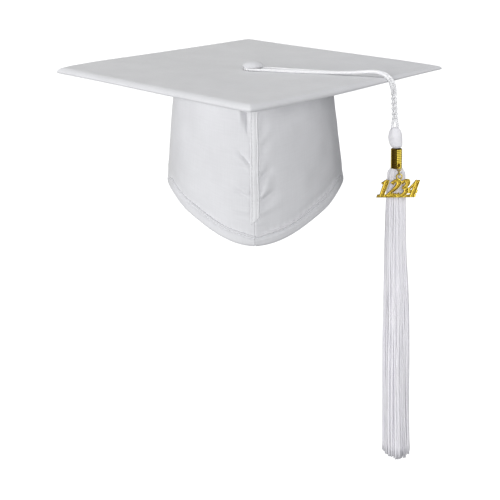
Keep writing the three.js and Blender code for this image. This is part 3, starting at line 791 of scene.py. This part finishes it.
def crown_plan(angle, z, offset):
    """The crown's wall before its creases, moved outward by offset."""
    down = (CROWN_HEIGHT - z) / CROWN_HEIGHT
    width = mix(HALF_WIDTH, np.minimum(down, 1)) + offset
    bulge = 1 - (1 - down / (1 + FRONT_PEAK / CROWN_HEIGHT)) ** 2
    depth = np.where(np.sin(angle) < 0, mix(HALF_FRONT, bulge), mix(HALF_BACK, down)) + offset
    x, y = np.cos(angle) * width, np.sin(angle) * depth
    lean = np.interp(z / MM, LEAN_AT, LEAN) * MM * np.abs(np.cos(angle))
    slope = np.where(x > 0, KEEL[1], KEEL[0])
    keel = slope * (np.abs(x) * np.exp(-np.abs(x) / KEEL_REACH)) - KEEL[0] * KEEL_REACH * 0.2
    y = y + np.where(np.sin(angle) < 0, keel * smoothstep(0, 0.5, -np.sin(angle)), 0)
    return np.stack([x + lean, y, np.broadcast_to(z, x.shape)], -1)


def crown_outward(angle, z):
    return normed(crown_plan(angle, z, 10 * MM) - crown_plan(angle, z, 0))


def crown_top_z(angle):
    """The height of the crown's top edge: it follows the board's warped underside."""
    return board_bottom_z(np.cos(angle) * HALF_WIDTH[0])


ANGLES = np.linspace(FRONT - math.pi, FRONT + math.pi, 1441)
AROUND = lengths_along(crown_plan(ANGLES, np.full_like(ANGLES, 20 * MM), 0))
ARC = AROUND - AROUND[len(ANGLES) // 2]
BACK_ARC = ARC[-1] / MM


def arc_of(angle):
    """How far round the crown an angle is from the front seam, positive toward +X."""
    return np.interp(angle, ANGLES, ARC)


def angle_of(arc):
    return np.interp(arc, ARC, ANGLES)


# Creases by the front seam: arc and height of the start and the end, width and depth, in mm, and how much
# they widen towards the end, as a share of the width.
CREASES = [
    (-9.4, 96, -5.8, 58, 6.2, -5.6, -0.66), (-14.5, 92, -11.5, 62, 2.8, 0.8, -0.5),
    (-5, 34, -17, 47, 1.9, -1.3, 0.6), (-5, 30, -15, 40, 2.2, 0.8, 0.6),
    (-5, 8, -19, 17, 1.8, 0.9, 0.6), (-5, 4, -17, 11, 1.8, -0.7, 0.6),
    (-5, -8, -22, -3, 3.0, 0.5, 0.5), (5, 20, 16, 31, 2.8, -1.5, 0.7),
    (6, 5, 15, 24, 3.6, 1.3, 0.4), (5, 2, 20, 11, 2.2, -1.5, 0.7),
    (5, -9, 26, 2, 3.2, 0.9, 0.5), (5, 44, 15, 55, 3.4, -0.7, 0.6),
    (5, 51, 18, 64, 3.4, 0.6, 0.6), (34, 62, 66, 70, 7.0, 0.5, 0.5),
    (-40, 60, -78, 66, 8.0, 0.4, 0.5), (-50, 20, -84, 34, 9.0, 0.4, 0.5),
    (52, 8, 84, 26, 8.0, -0.5, 0.5),
]


def creases(s, z):
    """How far the front creases push the cloth out, in mm, at arc s and height z in mm."""
    total = np.zeros_like(s)
    for s0, z0, s1, z1, width, depth, widening in CREASES:
        run = np.array([s1 - s0, z1 - z0], float)
        length = np.linalg.norm(run)
        run /= length
        along = (s - s0) * run[0] + (z - z0) * run[1]
        across = -(s - s0) * run[1] + (z - z0) * run[0]
        spread = width * (0.8 + widening * np.clip(along / length, 0, 1.0))
        fade = smoothstep(-0.15, 0.10, along / length) * (1 - smoothstep(0.45, 1.15, along / length))
        fade = fade * smoothstep(WELT_HALF / MM - 1.5, WELT_HALF / MM + 0.8, np.abs(s))
        fold = np.exp(-((across / spread) ** 2)) - 0.45 * np.exp(-(((across - 1.7 * spread) / spread) ** 2))
        total += depth * fade * fold
    return total


def gathers(s, z_over_edge):
    """Elastic gathers round the back of the lower edge, in mm."""
    near_back = 1 - smoothstep(48, 92, np.abs(np.abs(s) - BACK_ARC))
    fade = np.exp(-np.maximum(z_over_edge - 4, 0) / 17)
    wave = np.sin(s * 2 * math.pi / 7.3 + 1.4 * ripples(s, z_over_edge, 40, 31))
    wave = wave + 0.45 * np.sin(s * 2 * math.pi / 4.1 + 2 * ripples(s, z_over_edge, 30, 32))
    return near_back * fade * (1.15 * wave - 0.5)


def cloth_offset(angle, z):
    """How far the crown's cloth stands out of its plan, in metres."""
    s, h = arc_of(angle) / MM, z / MM
    below_board = CROWN_HEIGHT / MM - h
    beside_strip = np.abs(s) - WELT_HALF / MM
    over = (z - edge_z(angle)) / MM
    over_hem = over - hem_height(angle) / MM
    swell = 0.55 * ripples(s, h, 62, 21, stretch=(1, 1.3)) + 0.16 * ripples(s, h, 22, 22)
    swell = swell * smoothstep(0, 14, over) * smoothstep(0, 10, below_board)
    swell = swell * smoothstep(-1, 12, beside_strip)
    seam_distance = np.minimum(np.abs(beside_strip), np.abs(np.abs(s) - BACK_ARC))
    pucker = 0.22 * np.exp(-seam_distance / 6) * np.sin(h * 2 * math.pi / 8.5 + ripples(s, h, 26, 23))
    hem_pucker = 0.16 * np.exp(-np.abs(over_hem) / 4) * np.sin(s * 2 * math.pi / 6.4 + ripples(s, h, 30, 24))
    hem_pucker = hem_pucker * smoothstep(0, 12, below_board)
    top_pucker = 0.22 * np.exp(-below_board / 7) * np.sin(s * 2 * math.pi / 9 + 1.5 * ripples(s, h, 50, 25))
    tuck = -(0.45 + 0.75 * smoothstep(10, 60, s)) * np.exp(-(((over_hem - 2.5) / 4.5) ** 2))
    tuck = tuck * (1 - at_sides(angle))
    return (swell + pucker + hem_pucker + top_pucker + tuck + creases(s, h) + gathers(s, over)) * MM


def seam_tucks(angle, z):
    """How far the panels are drawn in under the front strip and into the two seams."""
    s = np.abs(arc_of(angle))
    by_strip = -0.8 * MM * (1 - smoothstep(WELT_HALF - 1.0 * MM, WELT_HALF + 0.6 * MM, s))
    by_strip = by_strip * smoothstep(WELT_END, WELT_END + 4 * MM, z)
    at_front = -0.25 * MM * np.exp(-s / (0.5 * MM))
    at_back = -1.3 * MM * np.exp(-np.abs(ARC[-1] - s) / (1.2 * MM))
    return by_strip + at_front + at_back


def crown_grid(name, angles, low, high, offset, rows, follow=1.0):
    """A strip of crown cloth between two heights for each angle. follow is how much of its creases it has."""
    share = np.linspace(0, 1, rows)
    angle = np.broadcast_to(angles[None, :], (rows, len(angles)))
    z = low[None, :] + (high - low)[None, :] * share[:, None]
    points = crown_plan(angle, z, offset(angle, z) + follow * cloth_offset(angle, z))
    return grid_object(name, points, arc_of(angles), share * float(np.mean(high - low)))


def face_out(obj, side):
    """Turns the right half's faces, which run the other way round, outward."""
    if side > 0:
        obj.data.flip_normals()
    return obj


HALVES = ((-1, "left"), (1, "right"))


def make_crown_panels():
    for side, name in HALVES:
        angles = FRONT + side * np.linspace(0, math.pi, 330)
        low = edge_z(angles) + 0.3 * MM
        high = crown_top_z(angles) + 0.2 * MM
        panel = face_out(crown_grid(f"crown_cloth_{name}", angles, low, high, seam_tucks, 130), side)
        thicken(panel, PANEL_CLOTH)
        dress(panel, CLOTH, "cap", [f"crown_panel_{name}"])

        inner = slice(1, -1)
        low, high = edge_z(angles)[inner] + 4 * MM, high[inner] - 0.6 * MM
        offset = lambda angle, z: -LINING_INSIDE
        lining = crown_grid(f"crown_lining_{name}", angles[inner], low, high, offset, 60, follow=0.7)
        thicken(lining, LINING_CLOTH)
        dress(face_out(lining, side), LINING, "cap", [f"interlining_{name}"])


make_crown_panels()

# The hem's section: how far out, in mm; height, as a share of the hem's; and how much higher still, in mm.
HEM_SECTION = [
    (-0.4, 0.97, 0), (0.7, 1, 0.3), (1.6, 1, 0.15), (2.2, 0.95, 0), (2.1, 0.89, 0), (1.2, 0.84, 0),
    (0.55, 0.79, 0), (0.6, 0.75, 0), (1.5, 0.69, 0), (2.2, 0.58, 0), (2.35, 0.44, 0), (2.1, 0.34, 0),
    (2.3, 0.24, 0), (2.0, 0.1, 0), (1.2, 0, -0.35), (0.1, 0, -0.75), (-0.9, 0, -0.6), (-1.9, 0, 0.1),
    (-2.3, 0.25, 0), (-2.3, 0.7, 0), (-1.7, 0.82, 0), (-1.0, 0.8, 0),
]
HEM_GROOVE = (0.62, 0.78)  # its stitches' groove: how far out, in mm, and height as a share of the hem's


def make_hem():
    """The turned-up hem: a rounded band outside, folded under the edge and up inside."""
    for side, name in HALVES:
        angles = FRONT + side * np.linspace(0, math.pi, 420)
        loops = []
        for out, share, more in HEM_SECTION:
            z = edge_z(angles) + hem_height(angles) * share + more * MM
            cloth = cloth_offset(angles, np.maximum(z, edge_z(angles) + 0.3 * MM))
            flatter = 1 - HEM_FLAT * at_sides(angles) * (out > 0)
            loops.append(crown_plan(angles, z, out * MM * flatter + cloth))
        rows = np.linspace(0, 26 * MM, len(loops) + 1)
        hem = grid_object(f"hem_{name}", np.stack(loops), arc_of(angles), rows, wrap_rows=True, end_caps=True)
        subdivide = hem.modifiers.new("smooth", "SUBSURF")
        subdivide.levels = subdivide.render_levels = 1
        dress(face_out(hem, side), CLOTH, "cap", [f"hem_band_{name}"])
        angles = FRONT + side * np.linspace(0.01, math.pi - 0.01, 700)
        out, share = HEM_GROOVE
        z = edge_z(angles) + hem_height(angles) * share
        on = crown_plan(angles, z, out * MM * (1 - HEM_FLAT * at_sides(angles)) + cloth_offset(angles, z))
        stitch_row(f"hem_stitches_{name}", on, crown_outward(angles, z))


make_hem()


def under_strip(angle, z):
    """The cloth under the front strip, which evens out its creases."""
    return 0.35 * cloth_offset(angle_of(np.sign(arc_of(angle)) * WELT_HALF), z)


def make_front_welt():
    """The front seam's allowance, pressed to one side and stitched down: a smooth raised strip."""
    across = np.linspace(-1, 1, 25)
    out = np.abs(across)
    beads = np.exp(-(((out - 0.78) / 0.16) ** 2)) - 0.5 * np.exp(-(((out - 0.52) / 0.12) ** 2))
    profile = WELT_LIFT * (1 - out**8) ** 0.6 - 0.9 * MM * out**16
    profile = profile * (1 + STRIP_TILT * across) + 0.42 * MM * beads
    low = WELT_END - END_SLANT * np.clip(-across, -0.9, 0.9)
    top = CROWN_HEIGHT - 0.3 * MM
    z = low + (top - low) * np.linspace(0, 1, 150)[:, None]
    wobble = 0.25 * MM * ripples(z / MM, 0, 30, 41)
    angle = angle_of(WELT_HALF * across + wobble)
    dent = 0.16 * MM * ripples(z / MM, across * 3, 14, 42)
    end = smoothstep(0, 1.6 * MM, z - low)
    reach = profile * end + dent * (profile > 0.5 * WELT_LIFT) * end - 0.7 * MM * (1 - end)
    points = crown_plan(angle, z, under_strip(angle, z) + reach)
    strip = grid_object("front_welt", points, WELT_HALF * across, z[:, 12])
    thicken(strip, STRIP_CLOTH)
    # The strip's cloth is painted lighter than the panels', as painted sheen.
    dress(strip, CLOTH_PAINTED_SHEEN, "cap", ["front_seam_welt"])
    for place, name in ((-0.54, "left"), (0.54, "right")):
        z = np.linspace(WELT_END + 3.5 * MM * (place > 0) + 1 * MM, CROWN_HEIGHT - 3 * MM, 300)
        angle = angle_of(np.full_like(z, place * WELT_HALF))
        on = crown_plan(angle, z, under_strip(angle, z) + 1.22 * MM)
        stitch_row(f"welt_stitches_{name}", on, np.broadcast_to((0.0, -1.0, 0.0), on.shape))


make_front_welt()


BACK_SEAM_HALF = 2.5 * MM


def make_back_seam():
    low = float(edge_z(np.array(math.pi / 2))) + HEM + 0.5 * MM
    z = np.linspace(low, CROWN_HEIGHT - 0.5 * MM, 90)
    across = np.linspace(-1, 1, 13)
    angle, height = np.broadcast_arrays(math.pi / 2 + across * BACK_SEAM_HALF / HALF_BACK[1], z[:, None])
    folded = np.where(angle > math.pi / 2, angle - 2 * math.pi, angle)
    lift = 0.9 * MM * (1 - np.abs(across) ** 6) ** 0.6 - 0.3 * MM * np.abs(across) ** 10
    points = crown_plan(angle, height, 0.8 * cloth_offset(folded, height) + lift)
    seam = grid_object("back_seam", points[:, ::-1], across * BACK_SEAM_HALF, z)
    thicken(seam, STRIP_CLOTH)
    seam.data.flip_normals()
    # The seam's cloth is painted lighter than the panels', as painted sheen.
    dress(seam, CLOTH_PAINTED_SHEEN, "cap", ["back_seam_welt"])


CASING_HALF_ANGLE = math.radians(56)
CASING_LOW = 1.0 * MM  # over the crown's edge
CASING_WIDTH = 15 * MM


def make_casing():
    """Inside the crown's back, the elastic's gathered casing and its two rows of stitches."""
    angles = math.pi / 2 + np.linspace(-CASING_HALF_ANGLE, CASING_HALF_ANGLE, 640)
    arc = (angles - math.pi / 2) * 88
    gather = 0.9 * np.sin(arc * 2 * math.pi / 5.6 + 1.6 * ripples(arc, 0, 36, 51))
    share = np.linspace(0, 1, 26)[:, None]
    rise = CASING_LOW + share * CASING_WIDTH
    z = edge_z(angles) + rise
    puff = np.sin(math.pi * share) ** 0.5
    slack = puff * (0.9 + 0.8 * gather) + (1 - puff) * 0.25 * gather
    points = crown_plan(np.broadcast_to(angles, z.shape), z, (-2.6 - slack) * MM)
    casing = grid_object("elastic_casing_gathered", points, arc * MM, rise[:, 0])
    thicken(casing, 0.5 * MM, 1.0)
    casing.data.flip_normals()
    dress(casing, LINING, "cap", ["elastic_casing"])
    for share, name in ((0.06, "low"), (0.94, "high")):
        z = edge_z(angles) + CASING_LOW + share * CASING_WIDTH
        on = crown_plan(angles, z, (-3.05 - 0.25 * gather) * MM)
        stitch_row(f"casing_stitches_{name}", on, -crown_outward(angles, z))


make_back_seam()
make_casing()


# The turned-in edge's section: how far out of the crown's plan, and height from its top, in mm.
TURNING_SECTION = [
    (-2.4, -7.0), (-2.6, -1.6), (-3.4, -0.8), (-5, -0.7), (-9, -0.75), (-13, -0.7), (-14.6, -0.6), (-15, -0.2)
]


def make_top_ring():
    """Inside, the crown's top edge turned in against the board and stitched down."""
    angles = full_turn(360)
    folded = (angles - FRONT + math.pi) % (2 * math.pi) + FRONT - math.pi
    wave = ripples(arc_of(folded) / MM, 0, 18, 61)
    loops = []
    for number, (offset, down) in enumerate(TURNING_SECTION):
        z = crown_top_z(angles) + down * MM - 0.12 * MM * (wave + 1) * (number > 1)
        loops.append(crown_plan(angles, z, (offset + 0.25 * wave * (number > 5)) * MM))
    turning = turned_object("crown_top_turning", loops, np.append(arc_of(folded), ARC[-1]))
    thicken(turning, 0.45 * MM, 1.0)
    dress(turning, LINING, "cap", ["crown_top_flange"])
    z = crown_top_z(angles) - 0.75 * MM
    on = crown_plan(angles, z, -12 * MM) - np.array([0, 0, 0.45 * MM])
    stitch_row("top_turning_stitches", on, np.broadcast_to((0.0, 0.0, -1.0), on.shape))


make_top_ring()


# ---- Button ----

BUTTON_PLEATS = 18


def make_button():
    """The button's cloth: a dome drawn in under its rim in small pleats."""
    low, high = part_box("button_cover")
    radius, top = (high.x - low.x) / 2, high.z
    rim = BOARD_TOP + 2.7 * MM
    section = [(r * MM, rim + z * MM) for r, z in ((5.2, 1.1), (7.2, 0.5), (8.6, 0.05), (9.2, 0.5))]
    for angle in np.linspace(math.radians(8), math.radians(89), 26):
        height = rim + 0.6 * MM + (top - rim - 0.6 * MM) * math.sin(angle)
        section.append((radius * math.cos(angle) ** 0.9, height))
    turn = full_turn(144)
    loops = []
    for number, (r, z) in enumerate(section):
        pleat = max(0.0, 1 - number / 9)
        ripple = 1 + 0.035 * pleat * np.sin(BUTTON_PLEATS * turn + 0.7 * np.sin(3 * turn))
        loops.append(circle(r * ripple, z + 0.10 * MM * pleat * np.sin(BUTTON_PLEATS * turn), turn))
    points = np.concatenate(loops)
    faces = grid_faces(len(section), len(turn), False, True)[0]
    last = list(range(len(points) - len(turn), len(points)))
    uv = points[np.append(faces.ravel(), last)][:, :2]
    button = mesh_of("button_cloth", points, [*faces.tolist(), last], uv)
    thicken(button, 0.4 * MM)
    dress(button, CLOTH, "cap", ["button_cover"])


make_button()


# ---- Tassel ----

HEAD_LEAN = 1.3 * MM  # the head sits a little to the left of the ferrule
HEAD_FOOT = -1.15  # the angle about its middle at which it starts
HEAD_STRANDS = 44
FERRULE_RIBS = 11
RIB_SWELL = 0.36 * MM


def make_head():
    """The tassel's head: thread wound down over a bead."""
    low, high = ferrule_high.z + 0.1 * MM, head_high.z + 0.6 * MM
    middle, half = (low + high) / 2, (high - low) / 2
    radius = (head_high.x - head_low.x) / 2 + 0.6 * MM
    turn = full_turn(288)
    loops = []
    for a in np.linspace(HEAD_FOOT, math.radians(88), 70):
        twist = turn + 0.55 * (a / 1.57)
        groove = 0.16 * MM * (np.abs(np.cos(HEAD_STRANDS / 2 * twist + 0.5 * np.sin(5 * turn))) ** 0.5 - 0.5)
        uneven = 0.12 * MM * ripples(turn * 9, a * 3, 8, 71)
        belly = radius * (math.cos(a) ** 0.86 + 0.1 * math.exp(-(((a + 0.85) / 0.35) ** 2)))
        r = belly + (groove + uneven) * min(1, math.cos(a) * 3)
        centre = (TASSEL_X - HEAD_LEAN * smoothstep(HEAD_FOOT, 0.2, a), TASSEL_Y)
        loops.append(circle(r, middle + half * max(math.sin(a), -0.93), turn, centre))
    head = turned_object("tassel_head_wound", loops, np.append(turn, 2 * math.pi) / 6.3)
    thicken(head, 0.5 * MM)
    dress(head, WOUND, "tassel", ["tassel_head"])
    return head


def make_ferrule():
    """The gilt ferrule: a rolled collar with fine round ribs."""
    radius = (ferrule_high.x - ferrule_low.x) / 2
    turn = full_turn(128)
    share = np.linspace(0, 1, 10 * FERRULE_RIBS + 1)
    z = ferrule_low.z + share * (ferrule_high.z - ferrule_low.z)
    swell = np.abs(np.sin(math.pi * FERRULE_RIBS * share)) ** 0.8
    r = radius - 0.05 * MM + RIB_SWELL * swell
    inner = radius - 0.75 * MM
    section = [(inner, z[0] + 0.4 * MM), *zip(r, z), (inner, z[-1] - 0.4 * MM)]
    loops = [circle(r, z, turn, (TASSEL_X, TASSEL_Y)) for r, z in section]
    ferrule = turned_object("ferrule_ribbed", loops, np.linspace(0, 0.03, len(turn) + 1))
    thicken(ferrule, 0.25 * MM)
    ribbed_gilt = metal("ribbed_gilt", GOLD, 0.14, grooves=(radius - 0.02 * MM, radius + 0.2 * MM))
    dress(ferrule, ribbed_gilt, "tassel", ["ferrule"])
    return ferrule


# (height in mm, half width, half depth, how far back the middle stands, how far to the right)
FRINGE_SHAPE = [
    (24.0, 2.6, 2.6, 0.0, 0.0), (20.3, 3.4, 3.1, 0.0, 0.0), (18.6, 6.0, 4.0, 0.4, 0.0),
    (15.5, 7.6, 4.6, 0.7, 0.0), (12.0, 8.0, 4.9, 0.8, 0.0), (2.0, 8.3, 5.6, 0.8, 0.0),
    (-10.0, 8.6, 6.3, 0.7, 0.0), (-47.0, 9.4, 7.2, 0.4, 0.0), (-65.0, 9.8, 7.5, 0.3, 0.3),
    (-83.0, 10.4, 7.9, 0.1, 0.9), (-101.0, 10.8, 8.2, 0.0, 1.2), (-138.0, 11.1, 8.6, 0.0, 1.5),
    (-193.0, 11.0, 9.0, 0.0, 2.0), (-229.0, 11.6, 9.3, 0.0, 2.7), (-247.0, 12.0, 9.5, 0.0, 3.0),
]
FRINGE_END = -247.0  # about where the longest threads end, in mm
THREADS = 210
NECK_THREAD_RADIUS, THREAD_RADIUS = 0.62, 0.74  # inside the ferrule, and below it, in mm


def make_fringe():
    """The fringe: some two hundred separate threads that leave the ferrule together and end unevenly."""
    rng = np.random.default_rng(7)
    heights = np.array([row[0] for row in FRINGE_SHAPE])[::-1]
    column = lambda k: np.array([row[k] for row in FRINGE_SHAPE])[::-1]
    paths, radii = [], []
    golden = math.pi * (3 - math.sqrt(5))
    for i in range(THREADS):
        rank = math.sqrt((i + 0.5) / THREADS)
        turn = i * golden + rng.normal(0, 0.05)
        clump = 0.10 * math.sin(7 * turn) + 0.05 * math.sin(13 * turn + 1)
        across = rank * math.cos(turn)
        end = FRINGE_END + 4.0 * smoothstep(0.0, 0.9, abs(across - 0.1))
        end = float(end) + abs(rng.normal(0, 1.4)) + 1.8 * math.sin(3.1 * turn) ** 2
        z = np.concatenate([np.linspace(24, 10, 9), np.linspace(4, end, 30)])
        drift = rng.normal(0, 0.32, 4)
        down = np.clip((15 - z) / 255, 0, 1)
        rho = rank * (0.96 + clump * down) + 0.05 * np.sin(down * 7 + drift[0] * 9) * down
        wander = turn + 0.22 * drift[1] * down + 0.05 * np.sin(down * 9 + drift[2] * 12)
        wide, deep, back, right = (np.interp(z, heights, column(k)) for k in (1, 2, 3, 4))
        x = TASSEL_X + MM * (wide * rho * np.cos(wander) + right + 0.25 * drift[3] * down)
        y = TASSEL_Y + MM * (deep * rho * np.sin(wander) + back)
        paths.append(np.stack([x, y, z * MM], 1))
        radii.append(np.where(z > 16, NECK_THREAD_RADIUS, THREAD_RADIUS + 0.04 * rng.normal()) * MM)
    fringe = many_tubes("fringe_threads", paths, radii)
    dress(fringe, THREAD, "tassel", ["fringe"])
    return fringe


# The charm's four placeholder numerals: strokes through (across, up, half width) on a 10 by 15 grid.
NUMERALS = [
    [
        [(5, 0.4, 1.7), (5, 14.4, 1.8)],
        [(1.0, 0.8, 1.0), (9.2, 0.8, 1.0)],
        [(1.2, 11.6, 0.7), (3.6, 12.8, 1.1), (5.4, 14.2, 1.2)],
    ],
    [
        [
            (2, 11.2, 1.6), (3.4, 13.4, 1.2), (5.6, 14.0, 1.2), (7.8, 12.0, 1.8), (7.2, 8.8, 1.7),
            (4.2, 4.6, 1.2), (1.4, 1.2, 1.0),
        ],
        [(1, 1, 1.2), (4.6, 1.3, 1.5), (9.4, 1.1, 1.2)],
    ],
    [
        [(2, 11.8, 1.5), (4, 13.8, 1.1), (6.6, 13.2, 1.6), (7.2, 10.8, 1.7), (5.6, 8.6, 1.1), (3.6, 8, 0.9)],
        [(4, 8.2, 0.9), (6.8, 7.4, 1.4), (8.2, 4.6, 1.8), (6.4, 1.5, 1.4), (3.4, 0.9, 1.1), (1.2, 2.4, 1.5)],
    ],
    [
        [(6.2, 14.2, 0.9), (3.4, 9, 0.9), (0.8, 4.6, 1.0)],
        [(0.6, 4.4, 1.1), (9.8, 4.4, 1.1)],
        [(6.6, 0.4, 1.8), (6.6, 14.4, 1.7)],
        [(3.4, 0.8, 0.95), (9.6, 0.8, 0.95)],
    ],
]
FOOT = [(1.0, 0.55, 0.85), (33.0, 0.55, 0.85)]
NUMERAL_PITCH = 8.3
NUMERAL_SLANT = 0.34
NUMERAL_SCALE = 1.02
CHARM_LEFT, CHARM_BASE = -18.6, -3.9  # from the tassel's axis, in mm
STROKE_WIDTH = 1.24
CHARM_DEPTH = 1.5  # between the back and the sunken faces of the strokes
RIM = 0.42  # how far the strokes' rims stand over their faces
CHARM_LOOP = (1.9, 14.1, 2.3, 0.6)  # across, up, radius, wire, in mm


def stroke_ribbon(stroke, shift, bodies):
    """One stroke as a closed bar with a raised rim along both sides."""
    points = np.array([(x, y, 0) for x, y, _ in stroke], float)
    line = smooth_path(points, 0.35)
    travelled = lengths_along(line)
    share = np.array([travelled[np.argmin(np.linalg.norm(line - p, axis=1))] for p in points])
    width = np.interp(travelled, share, [w for _, _, w in stroke]) * STROKE_WIDTH
    along = normed(np.gradient(line, axis=0))
    side = np.stack([-along[:, 1], along[:, 0], np.zeros(len(line))], 1)
    face = CHARM_DEPTH / 2
    half = [(1, -face), (1, face), (0.94, face + RIM), (0.66, face + RIM), (0.5, face), (0.2, face)]
    section = [(-1, -face), *half, *[(-a, depth) for a, depth in half[:0:-1]]]
    rings = []
    for a, depth in section:
        flat = (line + side * (width * a)[:, None]) * NUMERAL_SCALE
        x = CHARM_LEFT + shift + flat[:, 0] + NUMERAL_SLANT * flat[:, 1]
        z = CHARM_BASE + flat[:, 1]
        rings.append(np.stack([x, np.full_like(x, -depth), z], 1))
    points = np.stack(rings, 1)
    first = sum(len(p) for p, _ in bodies)
    faces = grid_faces(len(line), len(section), False, True, first)[0]
    last = first + (len(line) - 1) * len(section)
    caps = [[first + k for k in range(len(section))][::-1], [last + k for k in range(len(section))]]
    bodies.append((points.reshape(-1, 3), faces.tolist() + caps))


def make_charm():
    """The numeral charm, cast in one piece: strokes with raised rims, on a foot, under a loop."""
    bodies = []
    for number, strokes in enumerate(NUMERALS):
        for stroke in strokes:
            stroke_ribbon(stroke, number * NUMERAL_PITCH, bodies)
    stroke_ribbon(FOOT, 0, bodies)
    across, up, radius, wire = CHARM_LOOP
    t, w = np.meshgrid(full_turn(48), full_turn(16), indexing="ij")
    reach = radius + wire * np.cos(w)
    loop = np.stack([across + reach * np.cos(t), wire * np.sin(w) - 0.5, up + reach * np.sin(t)], -1)
    first = sum(len(p) for p, _ in bodies)
    bodies.append((loop.reshape(-1, 3), grid_faces(48, 16, True, True, first)[0].tolist()))
    low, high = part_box("charm")
    points = np.concatenate([p for p, _ in bodies]) * MM + (TASSEL_X, (low.y + high.y) / 2, 0)
    charm = mesh_of("numeral_charm", points, [face for _, body in bodies for face in body])
    remesh = charm.modifiers.new("cast", "REMESH")
    remesh.mode = "VOXEL"
    remesh.voxel_size = 0.17 * MM
    remesh.use_smooth_shade = True
    soften = charm.modifiers.new("soften", "SMOOTH")
    soften.factor, soften.iterations = 0.5, 3
    dress(charm, CHARM_GILT, "charm", ["charm"])
    return charm


head, ferrule, fringe, numerals = make_head(), make_ferrule(), make_fringe(), make_charm()


def finish_cad_nodes():
    """Materials for the CAD nodes that stay."""
    finishes = {
        "board_core": BOARD,
        "elastic_band": ELASTIC,
        "button_core": PLASTIC,
        "button_shank": PLASTIC,
        "button_washer": STEEL,
        "tassel_head_core": PLASTIC,
        "neck_tie": THREAD,
        "ferrule_eyelet": GILT,
        "jump_ring": GILT,
    }
    for name, material in finishes.items():
        node = frame["nodes"][name]
        node.data.materials.clear()
        node.data.materials.append(material)


finish_cad_nodes()


# ---- Stage and light ----


def hide_from(obj, *rays):
    for ray in rays:
        setattr(obj, f"visible_{ray}", False)


def make_stage():
    """A plain white floor, well below the cap, that curves up into a wall all round, and a ceiling."""
    floor_z, radius, curve, top = -2.6, 6.0, 2.0, 5.0
    section = [(0.01, floor_z), (radius - curve, floor_z)]
    for angle in np.linspace(0, math.pi / 2, 14)[1:]:
        section.append((radius - curve + curve * math.sin(angle), floor_z + curve * (1 - math.cos(angle))))
    section += [(radius, top), (0.01, top + 0.5)]
    stage = turned_object("stage", [circle(r, z, full_turn(64)) for r, z in section], np.arange(65))
    n = Nodes("stage_white")
    n.set(Base_Color=(0.9, 0.9, 0.9, 1), Roughness=0.9)
    n.set(Emission_Color=(1, 1, 1, 1), Emission_Strength=0.9)
    stage.data.materials.append(n.material)
    hide_from(stage, "diffuse", "glossy", "transmission", "volume_scatter", "shadow")


def reflector(name, azimuths, strength, color=(1, 1, 1)):
    """A curved card round the tassel that only shiny things see. Azimuths in degrees, right of the front."""
    angles = np.radians(np.linspace(*azimuths, 24))
    ends = (-0.5, 0.5)
    points = np.stack([circle(0.55, z, angles - math.pi / 2, (TASSEL_X, TASSEL_Y)) for z in ends])
    card = grid_object(name, points, angles, ends)
    n = Nodes(name)
    n.set(Base_Color=(0.0, 0.0, 0.0, 1), Roughness=1.0, Specular_IOR_Level=0.0)
    n.set(Emission_Color=(*color, 1), Emission_Strength=strength)
    card.data.materials.append(n.material)
    hide_from(card, "camera", "diffuse", "transmission", "volume_scatter", "shadow")


def area_light(name, place, target, size, power):
    """A square light that mirrors don't see."""
    data = bpy.data.lights.new(name, "AREA")
    data.energy, data.size = power, size
    lamp = link(bpy.data.objects.new(name, data))
    lamp.location = place
    lamp.rotation_euler = (Vector(target) - Vector(place)).to_track_quat("-Z", "Y").to_euler()
    lamp.visible_glossy = False
    return lamp


def light_only(lamp, *pieces):
    lit = bpy.data.collections.new(f"lit_by_{lamp.name}")
    for piece in pieces:
        lit.objects.link(piece)
    lamp.light_linking.receiver_collection = lit


def make_light():
    world = bpy.data.worlds.new("studio")
    world.use_nodes = True
    background = world.node_tree.nodes["Background"].inputs
    background["Color"].default_value = (0.95, 0.97, 1, 1)
    background["Strength"].default_value = 0.265
    bpy.context.scene.world = world
    area_light("side_key", (-2.1, -0.9, 0.35), (0, 0, 0.02), 0.9, 21.5)
    area_light("front", (-0.5, -2.4, 0.2), (0, 0, 0), 0.9, 24.2)
    area_light("top", (0, 0.1, 1.95), (0, 0, 0), 1.1, 12.0)
    area_light("right", (1.7, -0.9, 0.7), (0.05, 0, 0.05), 0.8, 5.3)
    fill = area_light("tassel_fill", (0.65, -1.0, 0.45), (0.12, -0.05, 0.02), 0.6, 3.9)
    light_only(fill, cord, head, fringe)
    glint = area_light("charm_glint", (0.17, -1.0, -0.28), (0.12, -0.07, 0.0), 0.8, 5.4)
    glint.visible_glossy, glint.visible_camera = True, False
    light_only(glint, numerals)
    bpy.context.scene.view_settings.view_transform = "Standard"


for piece in list(bpy.context.scene.objects):
    if piece.name.startswith(("crown_", "board_cover", "hem_", "front_welt")):
        piece.visible_glossy = False

make_stage()
reflector("olive_card", (-178, -126), 0.6, (1, 0.95, 0.6))
reflector("dark_card", (-126, 10), 0.05, (1, 0.4, 0.1))
reflector("light_strip", (12, 30), 1.8)
reflector("light_card", (30, 120), 0.95)
make_light()
